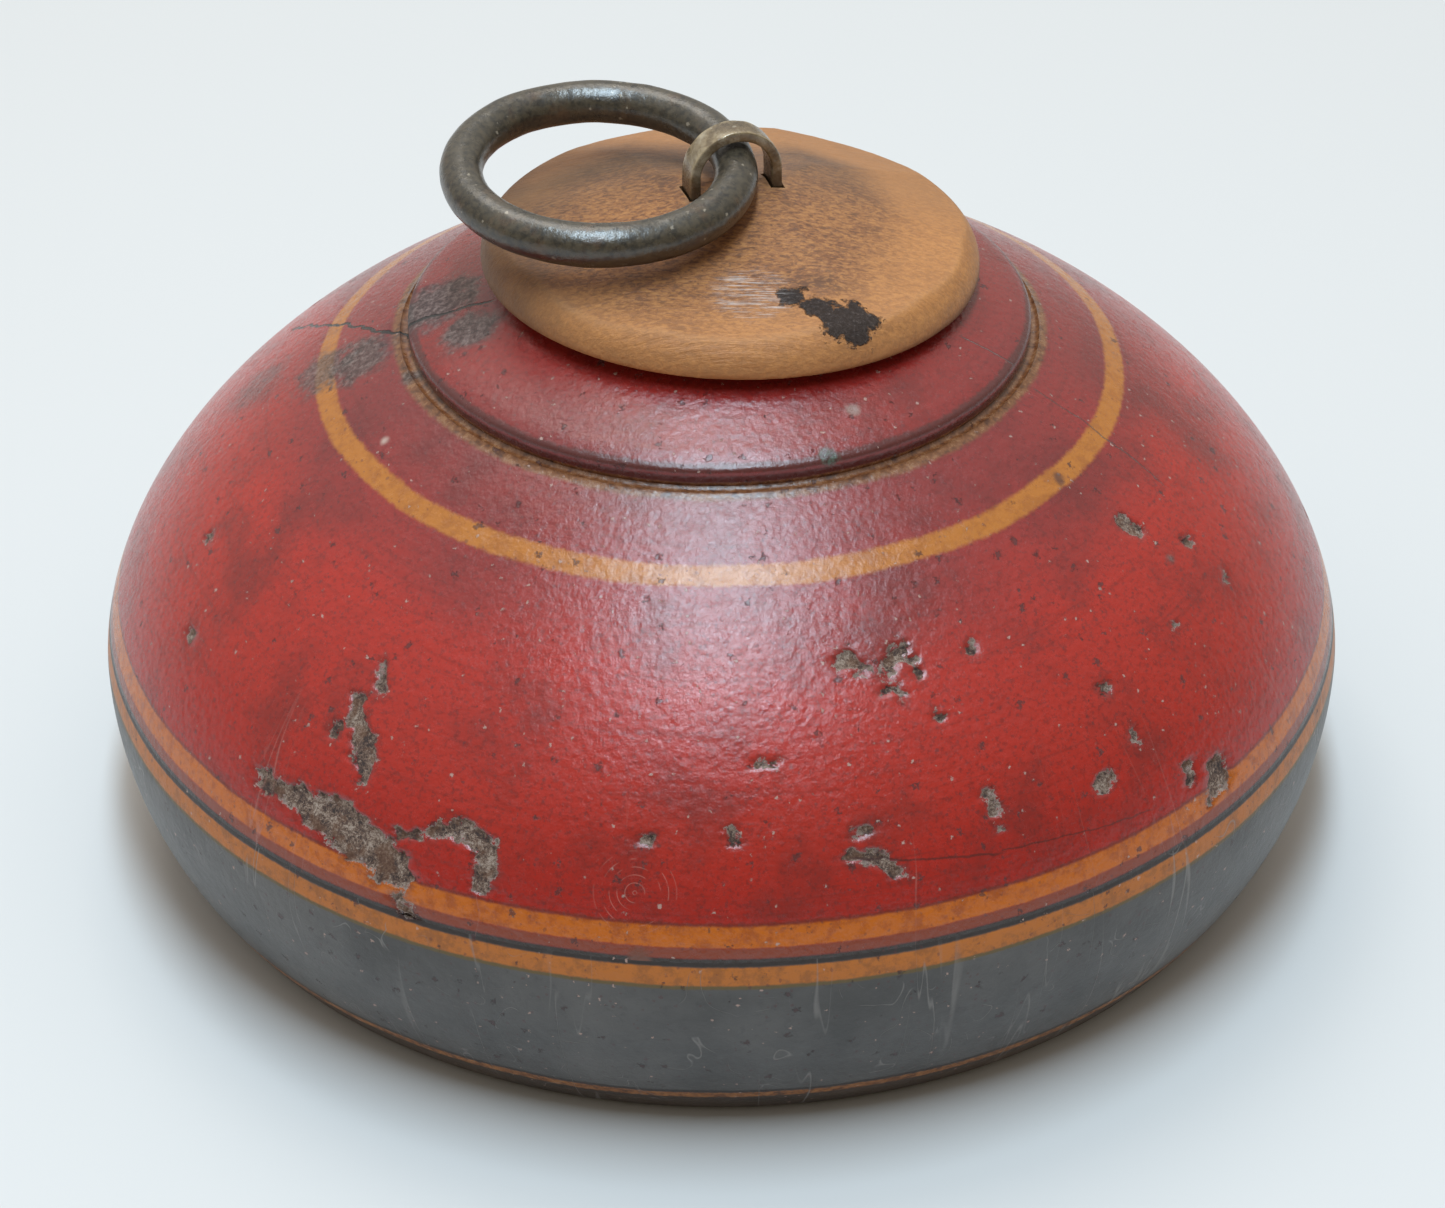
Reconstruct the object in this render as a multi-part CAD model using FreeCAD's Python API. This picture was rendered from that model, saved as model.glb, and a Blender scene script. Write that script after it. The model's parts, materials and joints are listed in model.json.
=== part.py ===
import FreeCAD, Part
import math
import os

from FreeCAD import Placement, Rotation, Vector

# A squat turned-wood vessel with a carved stopper, a bent strap staple and a pull ring.
# The vessel stands on Z = 0 and turns about the Z axis; the ring lies towards -X.
# All sizes are in millimetres.

# Vessel, outside
belly_radius = 65.0           # widest part of the vessel
belly_height = 20.5           # height of the widest part above the table
dome_rise = 43.8              # from the belly to where the dome curve meets the axis
dome_exponent = 1.7           # 2 is an ellipse, less is a straighter, more pointed shoulder
bowl_arc_radius = 31.5        # round side of the bowl, from the belly down to the foot
curve_points = 13             # points of the formula that each dome curve passes through
foot_round = 3.0              # rounded edge between the bowl and its flat foot

# Vessel, inside
wall = 6.0
floor_thickness = 6.0

# Glued joint between the two halves
seam_rise = 3.4               # height of the joint above the belly
seam_cover = 2.8              # wood of the upper half outside the tongue
tongue_height = 4.0
glue_gap = 0.05

# Collar and mouth
collar_width = 10.7           # from the lip out to the collar's edge
collar_step = 1.7             # height of the collar's edge above the dome
collar_edge_round = 0.8
groove_radius = 0.65          # worn groove round the foot of the collar
mouth_radius = 17.0
lip_width = 4.0               # flat land round the mouth
lip_rise = 4.5                # height of the lip above the collar's edge
lip_round = 0.6

# Stopper
plug_clearance = 0.35
plug_length = 12.0
plug_taper = 0.7              # the plug's foot is this much smaller in radius
shoulder_width = 2.5          # flat ring round the plug that sits on the lip
cap_overhang = 4.3            # the cap's rim reaches this far beyond the lip
cap_rim_thickness = 0.9
cap_rise = 7.8                # carved dome above the rim
cap_exponent = 2.2
cap_rim_drop = 0.2            # the rim's underside hangs this much below the lip
cap_dish_depth = 1.2          # hollow under the rim, which clears the collar
cap_rim_land = 0.5            # narrow flat edge outside the hollow
cap_shift_right = 1.1         # the carved cap isn't centred on its plug
cap_shift_back = 1.2
cap_lean_right = 2.0          # degrees, right side lower
cap_lean_back = 1.8           # degrees, back lower
flat_drop = 0.19              # depth of the flat carved on top, below the crown, at the eye

# Staple: a flat strap bent to an arch, with both legs through the stopper
eye_shift_right = 1.34        # the arch stands near the middle of the shifted cap
eye_shift_back = 2.2
eye_rise = 1.45               # centre of the arch above the flat
eye_play = 1.45               # room round the ring's wire inside the arch
strap_thickness = 1.25
strap_width = 3.1
eye_yaw = 19.0                # degrees, arch turned about the vertical
leg_slot_clearance = 0.05
clinch_length = 6.0           # each leg is bent outwards under the plug
clinch_bend = 0.9             # outer radius of that bend

# Pull ring
wire_radius = 2.25
ring_radius = 13.7            # centreline
ring_pivot_offset = 0.16      # the wire lies a little right of the arch's centre
ring_turn = 9.3               # degrees round the ring, from its right end to the eye
ring_lift_left = 1.7          # degrees, left end higher
ring_dip_front = 3.5          # degrees, front lower
ring_gap = 0.1                # between the ring and the flat that it lies along


def superellipse(across, up, exponent, share):
    """A point on a quarter superellipse; share runs from 0 at the side to 1 at the top."""
    angle = share * math.pi / 2
    power = 2 / exponent
    return Vector(across * max(math.cos(angle), 0.0) ** power, 0,
                  up * max(math.sin(angle), 0.0) ** power)


def radius_at(across, up, exponent, height):
    """Radius of a superellipse dome at a height above its widest part."""
    return across * (1 - (height / up) ** exponent) ** (1 / exponent)


def height_at(across, up, exponent, radius):
    """Height of a superellipse dome above its widest part, at a radius."""
    return up * (1 - (radius / across) ** exponent) ** (1 / exponent)


def dome_curve(across, up, exponent, low, high):
    """Smooth edge along a dome from height low to height high above the belly."""
    start = math.asin((low / up) ** (exponent / 2)) / (math.pi / 2)
    end = math.asin(min(1.0, (high / up) ** (exponent / 2))) / (math.pi / 2)
    points = []
    for step in range(curve_points):
        share = start + (end - start) * step / (curve_points - 1)
        points.append(superellipse(across, up, exponent, share) + Vector(0, 0, belly_height))
    curve = Part.BSplineCurve()
    curve.interpolate(points)
    return curve.toShape(), points[0], points[-1]


def line(first, last):
    return Part.makeLine(first, last)


def turned(edges):
    """A solid of revolution about Z from the edges of one closed outline."""
    face = Part.Face(Part.Wire(Part.__sortEdges__(edges)))
    solid = face.revolve(Vector(0, 0, 0), Vector(0, 0, 1), 360)
    return Part.makeSolid(solid) if solid.ShapeType == "Shell" else solid


def disc(radius, bottom, top):
    return Part.makeCylinder(radius, top - bottom, Vector(0, 0, bottom))


# Heights and radii that several pieces share
seam_height = belly_height + seam_rise
seam_radius = radius_at(belly_radius, dome_rise, dome_exponent, seam_rise)
tongue_radius = seam_radius - seam_cover
tongue_top = seam_height + tongue_height
lip_radius = mouth_radius + lip_width
collar_radius = lip_radius + collar_width
collar_foot = belly_height + height_at(belly_radius, dome_rise, dome_exponent, collar_radius)
collar_top = collar_foot + collar_step
lip_height = collar_top + lip_rise
cavity_radius = belly_radius - wall
cavity_rise = dome_rise - wall
bowl_arc_centre = belly_radius - bowl_arc_radius
plug_radius = mouth_radius - plug_clearance
plug_foot = lip_height - plug_length
shoulder_radius = mouth_radius + shoulder_width
cap_radius = lip_radius + cap_overhang
cap_rim_height = lip_height - cap_rim_drop
crown_height = cap_rim_height + cap_rim_thickness + cap_rise
flat_height = crown_height - flat_drop
eye_height = flat_height + eye_rise
eye_hole_radius = wire_radius + eye_play
strap_centreline = eye_hole_radius + strap_thickness / 2
clinch_foot = plug_foot - strap_thickness
cap_placement = Placement(Vector(cap_shift_right, cap_shift_back, cap_rim_height),
                          Rotation(Vector(0, 1, 0), cap_lean_right)
                          * Rotation(Vector(1, 0, 0), -cap_lean_back))
staple_placement = Placement(Vector(eye_shift_right, eye_shift_back, 0),
                             Rotation(Vector(0, 0, 1), eye_yaw))
ring_rotation = Rotation(Vector(0, 1, 0), ring_lift_left) * Rotation(Vector(1, 0, 0), ring_dip_front)
flat_point = Vector(eye_shift_right + ring_pivot_offset, eye_shift_back, flat_height)
ring_pivot = flat_point + ring_rotation.multVec(Vector(0, 0, wire_radius + ring_gap))
eye_bearing = math.radians(ring_turn)
ring_arm = ring_rotation.multVec(Vector(ring_radius * math.cos(eye_bearing),
                                        ring_radius * math.sin(eye_bearing), 0))
ring_axis = ring_rotation.multVec(Vector(-math.sin(eye_bearing), math.cos(eye_bearing), 0))


def bowl_curve(arc_radius, side, low_height):
    """Round side of the bowl, from the belly down to a height, with its lowest point."""
    drop = belly_height - low_height
    reach = math.sqrt(arc_radius ** 2 - drop ** 2)
    low = Vector(bowl_arc_centre + reach, 0, low_height)
    half_turn = math.asin(drop / arc_radius) / 2
    middle = Vector(bowl_arc_centre + arc_radius * math.cos(half_turn), 0,
                    belly_height - arc_radius * math.sin(half_turn))
    return Part.Arc(low, middle, side).toShape(), low


def rounded(body, radius, height, size):
    """The body with a fillet on its edge that runs round Z at this radius and height."""
    edges = []
    for edge in body.Edges:
        curve = edge.Curve
        if isinstance(curve, Part.Circle) and abs(curve.Radius - radius) < 1e-4:
            if abs(curve.Center.z - height) < 1e-4:
                edges.append(edge)
    return body.makeFillet(size, edges)


def make_cavity():
    """The hollow of the vessel, above and below the belly, up to the dome's inner tip."""
    dome, side, tip = dome_curve(cavity_radius, cavity_rise, dome_exponent, 0, cavity_rise)
    bowl, low = bowl_curve(bowl_arc_radius - wall, side, floor_thickness)
    centre = Vector(0, 0, floor_thickness)
    return turned([line(centre, low), bowl, dome, line(tip, centre)])


def make_upper_body(cavity):
    """The red dome with its collar and mouth, down to the glued joint."""
    dome, seam, foot = dome_curve(belly_radius, dome_rise, dome_exponent, seam_rise,
                                  collar_foot - belly_height)
    edge = Vector(collar_radius, 0, collar_top)
    lip = Vector(lip_radius, 0, lip_height)
    top = Vector(0, 0, lip_height)
    bottom = Vector(0, 0, seam_height)
    body = turned([dome, line(foot, edge), line(edge, lip), line(lip, top),
                   line(top, bottom), line(bottom, seam)])
    body = rounded(body, collar_radius, collar_top, collar_edge_round)
    body = rounded(body, lip_radius, lip_height, lip_round)
    groove = Part.makeTorus(collar_radius + groove_radius / 2, groove_radius,
                            Vector(0, 0, collar_foot))
    mouth = disc(mouth_radius, seam_height, lip_height)
    recess = disc(tongue_radius + glue_gap, seam_height, tongue_top + glue_gap)
    return body.cut(groove).cut(mouth).cut(cavity).cut(recess).removeSplitter()


def make_lower_body(cavity):
    """The bowl with its flat foot and the tongue that enters the upper half."""
    dome, side, seam = dome_curve(belly_radius, dome_rise, dome_exponent, 0, seam_rise)
    bowl, low = bowl_curve(bowl_arc_radius, side, 0)
    centre = Vector(0, 0, 0)
    top = Vector(0, 0, seam_height)
    body = turned([line(centre, low), bowl, dome, line(seam, top), line(top, centre)])
    body = rounded(body, low.x, 0, foot_round)
    tongue = disc(tongue_radius, belly_height, tongue_top)
    hollow = disc(cavity_radius, belly_height, tongue_top)
    return body.fuse(tongue).cut(hollow).cut(cavity).removeSplitter()


def make_cap():
    """The carved cap, leaning on the plug, with a flat top and a hollow underside."""
    dome, rim, crown = dome_curve(cap_radius, cap_rise, cap_exponent, 0, cap_rise)
    lift = Vector(0, 0, cap_rim_thickness - belly_height)
    dome.translate(lift)
    edge = Vector(cap_radius, 0, 0)
    land = Vector(cap_radius - cap_rim_land, 0, 0)
    hollow = Vector(shoulder_radius, 0, cap_dish_depth)
    middle = Vector(0, 0, cap_dish_depth)
    cap = turned([dome, line(rim + lift, edge), line(edge, land), line(land, hollow),
                  line(hollow, middle), line(middle, crown + lift)])
    cap.Placement = cap_placement
    above = Part.makeBox(4 * cap_radius, 4 * cap_radius, cap_radius,
                         Vector(-2 * cap_radius, -2 * cap_radius, 0))
    above.Placement = Placement(flat_point, ring_rotation)
    return cap.cut(above)


def make_stopper():
    """The cap and its tapered plug, one piece of wood, slotted for the staple's legs."""
    shoulder = disc(shoulder_radius, lip_height, crown_height - cap_rise / 2)
    plug = Part.makeCone(plug_radius - plug_taper, plug_radius, plug_length,
                         Vector(0, 0, plug_foot))
    body = make_cap().fuse([shoulder, plug]).removeSplitter()
    return body.cut(bent_strap(leg_slot_clearance))


def bent_strap(clearance):
    """The staple's arch and legs; with a clearance, the space they take in the wood."""
    width = strap_width + 2 * clearance
    half = width / 2
    thickness = strap_thickness + 2 * clearance
    outside = strap_centreline + thickness / 2
    front = Vector(0, -half, eye_height)
    arch = Part.makeCylinder(outside, width, front, Vector(0, 1, 0))
    arch = arch.cut(Part.makeCylinder(outside - thickness, width, front, Vector(0, 1, 0)))
    arch = arch.cut(Part.makeBox(2 * outside, width, outside,
                                 Vector(-outside, -half, eye_height - outside)))
    legs = []
    for side in (-1, 1):
        corner = Vector(side * strap_centreline - thickness / 2, -half, clinch_foot)
        legs.append(Part.makeBox(thickness, width, eye_height - clinch_foot, corner))
    strap = arch.fuse(legs).removeSplitter()
    strap.Placement = staple_placement
    return strap


def make_staple():
    """The whole staple: arch, legs, and the clinched ends under the plug."""
    ends = []
    inner_face = strap_centreline - strap_thickness / 2
    for side in (-1, 1):
        reach = inner_face + clinch_length
        corner = Vector(min(side * inner_face, side * reach), -strap_width / 2, clinch_foot)
        end = Part.makeBox(clinch_length, strap_width, strap_thickness, corner)
        bend = [e for e in end.Edges if is_vertical_bend(e, side * inner_face)]
        end = end.makeFillet(clinch_bend, bend)
        end.Placement = staple_placement
        ends.append(end)
    shortened = bent_strap(0).cut(disc(2 * strap_centreline, clinch_foot, plug_foot))
    return shortened.fuse(ends).removeSplitter()


def is_vertical_bend(edge, across):
    """True for the lower edge, along Y, on the side of a clinched end at X = across."""
    box = edge.BoundBox
    low = box.ZMax < clinch_foot + strap_thickness / 2
    return low and abs(box.XMin - across) < 1e-4 and abs(box.XMax - across) < 1e-4


def make_ring():
    """The pull ring, lying along the cap's flat, with its wire through the staple's eye."""
    ring = Part.makeTorus(ring_radius, wire_radius)
    ring.Placement = Placement(ring_pivot - ring_arm, ring_rotation)
    return ring


def make_pieces():
    cavity = make_cavity()
    return {
        "upper_body": make_upper_body(cavity),
        "lower_body": make_lower_body(cavity),
        "stopper": make_stopper(),
        "staple": make_staple(),
        "ring": make_ring(),
    }


os.makedirs("parts", exist_ok=True)
for name, shape in make_pieces().items():
    piece = shape.Solids[0] if len(shape.Solids) == 1 else shape
    box = piece.optimalBoundingBox(False)
    piece.exportStep("parts/" + name + ".step")
    print(f"{name:11s} solids {len(shape.Solids)} valid {piece.isValid()}"
          f" volume {piece.Volume:9.1f} x {box.XMin:6.1f} {box.XMax:6.1f}"
          f" y {box.YMin:6.1f} {box.YMax:6.1f} z {box.ZMin:6.1f} {box.ZMax:6.1f}")
print(f"lip {lip_height:.2f} crown {crown_height:.2f} flat {flat_height:.2f} eye {eye_height:.2f}"
      f" seam {seam_height:.2f} r {seam_radius:.2f} plug foot {plug_foot:.2f}")
print(f"ring pivot {ring_pivot.x:.3f} {ring_pivot.y:.3f} {ring_pivot.z:.3f}"
      f" axis {ring_axis.x:.5f} {ring_axis.y:.5f} {ring_axis.z:.5f}")
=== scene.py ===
# %% [markdown]
# # A lacquered vessel with a carved stopper
# The object is a squat vessel, turned from wood in two halves and finished with red and grey
# lacquer. A hand-carved stopper sits crooked in its mouth, and a metal ring swings in a bent
# strap on top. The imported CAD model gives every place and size. This lesson rebuilds each
# piece around it with more shape and a finish of its own.

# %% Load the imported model
import json
import math
import random

import bpy
import numpy as np
from mathutils import Matrix, Vector
from mathutils.noise import fractal


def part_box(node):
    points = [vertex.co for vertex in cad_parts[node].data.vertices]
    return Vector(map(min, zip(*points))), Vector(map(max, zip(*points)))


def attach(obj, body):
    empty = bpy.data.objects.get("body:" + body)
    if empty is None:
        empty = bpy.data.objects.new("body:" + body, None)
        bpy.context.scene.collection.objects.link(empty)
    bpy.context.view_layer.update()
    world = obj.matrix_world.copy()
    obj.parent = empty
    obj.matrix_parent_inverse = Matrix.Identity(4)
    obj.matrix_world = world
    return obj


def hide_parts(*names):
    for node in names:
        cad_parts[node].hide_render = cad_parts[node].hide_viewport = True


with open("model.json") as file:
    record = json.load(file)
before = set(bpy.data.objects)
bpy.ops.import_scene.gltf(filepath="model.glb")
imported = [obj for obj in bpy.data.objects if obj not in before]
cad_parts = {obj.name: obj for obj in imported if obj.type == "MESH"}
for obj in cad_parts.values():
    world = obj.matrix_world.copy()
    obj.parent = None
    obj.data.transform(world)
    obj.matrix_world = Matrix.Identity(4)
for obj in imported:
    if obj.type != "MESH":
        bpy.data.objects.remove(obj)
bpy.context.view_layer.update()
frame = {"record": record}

mm = 0.001

# %% [markdown]
# ## Sizes
# The box of each CAD node gives the seam between the halves, the lip and the top of the
# staple, and is printed as a measure of how big each piece may be. The curves between are the
# CAD model's own: a superellipse for the dome, a round arc for the bowl.

# %% Read the sizes from the frame
bowl_low, bowl_high = (Vector(corner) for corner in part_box("lower_body"))
dome_low, dome_high = (Vector(corner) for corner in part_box("upper_body"))
ring_low, ring_high = (Vector(corner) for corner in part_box("ring"))
stopper_low, stopper_high = (Vector(corner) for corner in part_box("stopper"))
staple_low, staple_high = (Vector(corner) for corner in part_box("staple"))
belly_radius = 65.0 * mm
seam_height = dome_low.z
lip_height = dome_high.z
belly_height = 20.5 * mm
dome_rise = 43.8 * mm
dome_exponent = 1.7
bowl_arc_radius = 31.5 * mm
wall = 6.0 * mm
print("seam", round(seam_height / mm, 2), "lip", round(lip_height / mm, 2), "mm")
for name, low, high in (("bowl", bowl_low, bowl_high), ("dome", dome_low, dome_high),
                        ("ring", ring_low, ring_high), ("stopper", stopper_low, stopper_high),
                        ("staple", staple_low, staple_high)):
    print(name, "box", [round(side / mm, 1) for side in high - low], "mm")


# %% [markdown]
# ## Helpers for modelling
# An operator acts on everything that is selected, so each piece starts with nothing selected.
# A turned piece starts as one point, is drawn by extruding that point along the outline, and
# is then spun round the Z axis, just as a lathe turns a profile into a form.

# %% Modelling helpers
weld = 0.01 * mm
turning_steps = 440


def clear_selection():
    if bpy.context.object and bpy.context.object.mode != "OBJECT":
        bpy.ops.object.mode_set(mode="OBJECT")
    bpy.ops.object.select_all(action="DESELECT")


def select_only(piece):
    clear_selection()
    piece.select_set(True)
    bpy.context.view_layer.objects.active = piece


def apply_modifier(piece, kind, **settings):
    """Add one modifier with these settings and apply it at once."""
    select_only(piece)
    modifier = piece.modifiers.new(kind.lower(), kind)
    for setting, value in settings.items():
        setattr(modifier, setting, value)
    bpy.ops.object.modifier_apply(modifier=modifier.name)


def turned_piece(name, outline, segments):
    """A solid turned from (radius, height) points, a closed loop or one that ends on the axis."""
    clear_selection()
    start = Vector((outline[0][0], 0, outline[0][1]))
    bpy.ops.mesh.primitive_plane_add(size=mm, location=start)
    piece = bpy.context.object
    piece.name = name
    bpy.ops.object.transform_apply(location=True, rotation=True, scale=True)
    bpy.ops.object.mode_set(mode="EDIT")
    bpy.ops.mesh.select_all(action="SELECT")
    bpy.ops.mesh.merge(type="CENTER")
    here = start
    for radius, height in outline[1:]:
        there = Vector((radius, 0, height))
        bpy.ops.mesh.extrude_region_move(TRANSFORM_OT_translate={"value": there - here})
        here = there
    bpy.ops.mesh.select_all(action="SELECT")
    bpy.ops.mesh.remove_doubles(threshold=weld)
    bpy.ops.mesh.select_all(action="SELECT")
    bpy.ops.mesh.spin(steps=segments, angle=math.tau, center=(0, 0, 0), axis=(0, 0, 1))
    bpy.ops.mesh.select_all(action="SELECT")
    bpy.ops.mesh.remove_doubles(threshold=weld)
    bpy.ops.mesh.normals_make_consistent(inside=False)
    bpy.ops.object.mode_set(mode="OBJECT")
    bpy.ops.object.shade_smooth_by_angle(angle=math.radians(50))
    return piece


def points_of(piece):
    """All vertex positions of a piece as one array, in metres."""
    flat = np.empty(len(piece.data.vertices) * 3)
    piece.data.vertices.foreach_get("co", flat)
    return flat.reshape(-1, 3)


def paint(piece, name, values):
    """Store one number per vertex, which a material can read by this name."""
    layer = piece.data.attributes.new(name, "FLOAT", "POINT")
    layer.data.foreach_set("value", np.asarray(values, dtype=np.float32))


# %% [markdown]
# ## Camera, light and floor
# The camera is a long macro lens that looks down at the vessel by a little over a third of a
# right angle. A narrow soft lamp hangs overhead and makes the long sheen on the dome, a wide
# one behind it lights the far side, and a pale sky fills the rest.

# %% Camera
camera_distance = 447.9 * mm
camera_elevation = math.radians(33.74)
camera_roll = math.radians(-0.34)
camera_target = Vector((0.13, 0, 21.23)) * mm
camera_lens = 104.6367
backwards = Vector((0, -math.cos(camera_elevation), math.sin(camera_elevation)))
rightwards = Vector((1, 0, 0))
upwards = backwards.cross(rightwards)
camera_data = bpy.data.cameras.new("camera")
camera_data.sensor_fit = "HORIZONTAL"
camera_data.sensor_width = 36.0
camera_data.lens = camera_lens
camera_data.clip_start = 0.01
camera = bpy.data.objects.new("camera", camera_data)
bpy.context.scene.collection.objects.link(camera)
turn = Matrix((rightwards, upwards, backwards)).transposed().to_4x4()
place = Matrix.Translation(camera_target + backwards * camera_distance)
camera.matrix_world = place @ turn @ Matrix.Rotation(camera_roll, 4, "Z")
bpy.context.scene.camera = camera
print("lens", round(camera_data.lens, 1), "mm at", round(camera_distance, 3), "m")


# %% Lamps and sky
def soft_lamp(name, place, aim, width, depth, power, colour):
    """A rectangular soft lamp that faces the aim point."""
    data = bpy.data.lights.new(name, "AREA")
    data.shape = "RECTANGLE"
    data.size = width
    data.size_y = depth
    data.energy = power
    data.color = colour
    lamp = bpy.data.objects.new(name, data)
    bpy.context.scene.collection.objects.link(lamp)
    lamp.location = place
    lamp.rotation_euler = (Vector(aim) - Vector(place)).to_track_quat("-Z", "Y").to_euler()


vessel_middle = (0, 0, 35 * mm)
soft_lamp("strip_lamp", (0.0, -0.17, 0.88), vessel_middle, 0.12, 0.64, 6.6, (0.66, 0.85, 1.0))
soft_lamp("back_lamp", (-0.15, 0.45, 0.9), vessel_middle, 0.5, 0.5, 2.4, (1.0, 0.96, 0.90))
sky = bpy.data.worlds.new("sky")
sky.use_nodes = True
sky_tree = sky.node_tree
sky_way = sky_tree.nodes.new("ShaderNodeTexCoord")
sky_side = sky_tree.nodes.new("ShaderNodeVectorMath")
sky_side.operation = "DOT_PRODUCT"
sky_side.inputs[1].default_value = (-0.12, 0.45, 0.88)
sky_ramp = sky_tree.nodes.new("ShaderNodeValToRGB")
sky_ramp.color_ramp.elements[0].position = 0.0
sky_ramp.color_ramp.elements[0].color = (0.36, 0.295, 0.205, 1)
sky_ramp.color_ramp.elements[1].position = 0.85
sky_ramp.color_ramp.elements[1].color = (0.98, 0.945, 0.885, 1)
sky_tree.links.new(sky_way.outputs["Generated"], sky_side.inputs[0])
sky_tree.links.new(sky_side.outputs["Value"], sky_ramp.inputs["Fac"])
sky_tree.links.new(sky_ramp.outputs["Color"], sky_tree.nodes["Background"].inputs["Color"])
sky_tree.nodes["Background"].inputs["Strength"].default_value = 0.70
bpy.context.scene.world = sky
bpy.context.scene.view_settings.view_transform = "Standard"

# %% Floor
clear_selection()
bpy.ops.mesh.primitive_plane_add(size=4.0, location=(0, 0, -0.02 * mm))
floor = bpy.context.object
floor.name = "floor"


# %% [markdown]
# ## Helpers for materials
# A material is a small machine of nodes. These helpers place a node, connect what feeds it
# and hand back its output, so a recipe reads from top to bottom. All patterns are measured
# in millimetres on the object itself.

# %% Node helpers
def place_node(tree, kind, feeds=None, **settings):
    """A new node; feeds maps its inputs to sockets or to plain values."""
    node = tree.nodes.new(kind)
    for setting, value in settings.items():
        setattr(node, setting, value)
    for socket, value in (feeds or {}).items():
        if isinstance(value, bpy.types.NodeSocket):
            tree.links.new(value, node.inputs[socket])
        elif value is not None:
            node.inputs[socket].default_value = value
    return node


def calc(tree, operation, first, second=None):
    node = place_node(tree, "ShaderNodeMath", {0: first, 1: second}, operation=operation)
    return node.outputs[0]


def vector_calc(tree, operation, first, second=None, scale=None):
    feeds = {0: first, 1: second}
    if scale is not None:
        feeds["Scale"] = scale
    node = place_node(tree, "ShaderNodeVectorMath", feeds, operation=operation)
    gives_number = operation in ("LENGTH", "DISTANCE", "DOT_PRODUCT")
    return node.outputs["Value" if gives_number else "Vector"]


def soft_step(tree, value, low, high):
    """0 below low, 1 above high, and a smooth rise between them."""
    feeds = {"Value": value, "From Min": low, "From Max": high}
    node = place_node(tree, "ShaderNodeMapRange", feeds, interpolation_type="SMOOTHSTEP")
    return node.outputs["Result"]


def blend_colour(tree, mask, under, over):
    """The over colour where the mask is 1, the under colour where it is 0."""
    feeds = {0: mask, 6: under, 7: over}
    node = place_node(tree, "ShaderNodeMix", feeds, data_type="RGBA", clamp_factor=True)
    return node.outputs[2]


def tint(tree, colour, mask, share, paint_colour):
    """Lay a share of a paint colour over a colour where the mask is 1."""
    if not isinstance(paint_colour, bpy.types.NodeSocket):
        paint_colour = (*paint_colour[:3], 1)
    return blend_colour(tree, calc(tree, "MULTIPLY", mask, share), colour, paint_colour)


def blend_value(tree, mask, under, over):
    node = place_node(tree, "ShaderNodeMix", {0: mask, 2: under, 3: over}, clamp_factor=True)
    return node.outputs[0]


def noise(tree, vector, scale, detail=3.0, roughness=0.55, distortion=0.0):
    feeds = {"Vector": vector, "Scale": scale, "Detail": detail, "Roughness": roughness,
             "Distortion": distortion}
    return place_node(tree, "ShaderNodeTexNoise", feeds).outputs["Fac"]


def colour_ramp(tree, value, stops):
    """A ramp through (position, colour) stops, with positions from 0 to 1."""
    node = place_node(tree, "ShaderNodeValToRGB", {"Fac": value})
    ramp = node.color_ramp
    while len(ramp.elements) < len(stops):
        ramp.elements.new(0.5)
    for element, (position, colour) in zip(ramp.elements, stops):
        element.position = position
        element.color = (*colour, 1)
    return node.outputs["Color"]


def new_material(name, colour, roughness, metallic=0.0):
    """A Principled material and its tree; plain values sit on the shader's own sockets."""
    material = bpy.data.materials.new(name)
    material.use_nodes = True
    shader = material.node_tree.nodes["Principled BSDF"]
    shader.inputs["Base Color"].default_value = (*colour, 1)
    shader.inputs["Roughness"].default_value = roughness
    shader.inputs["Metallic"].default_value = metallic
    return material, material.node_tree, shader


def bump(tree, height, strength):
    """Dents and rises from a height in millimetres."""
    feeds = {"Height": height, "Strength": strength, "Distance": mm}
    return place_node(tree, "ShaderNodeBump", feeds).outputs["Normal"]


def connect(tree, output, node, socket):
    tree.links.new(output, node.inputs[socket])


# %% [markdown]
# ## Shared effects
# Some effects belong to more than one finish, so each is a node group with named inputs and
# outputs: a measure of place on a turned piece, painted bands, dust specks, fine scratches,
# a patch with a ragged edge and a hairline crack. Each material places the group with values
# of its own.

# %% Group helper
def new_group(name, inputs, outputs):
    """An empty node group with float, vector or colour sockets, and its two end nodes."""
    group = bpy.data.node_groups.new(name, "ShaderNodeTree")
    kinds = {"float": "NodeSocketFloat", "vector": "NodeSocketVector", "color": "NodeSocketColor"}
    for socket, kind, value in inputs:
        made = group.interface.new_socket(socket, in_out="INPUT", socket_type=kinds[kind])
        made.default_value = value
    for socket, kind in outputs:
        group.interface.new_socket(socket, in_out="OUTPUT", socket_type=kinds[kind])
    return group, group.nodes.new("NodeGroupInput"), group.nodes.new("NodeGroupOutput")


def use_group(tree, group, feeds):
    return place_node(tree, "ShaderNodeGroup", feeds, node_tree=group)


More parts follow.
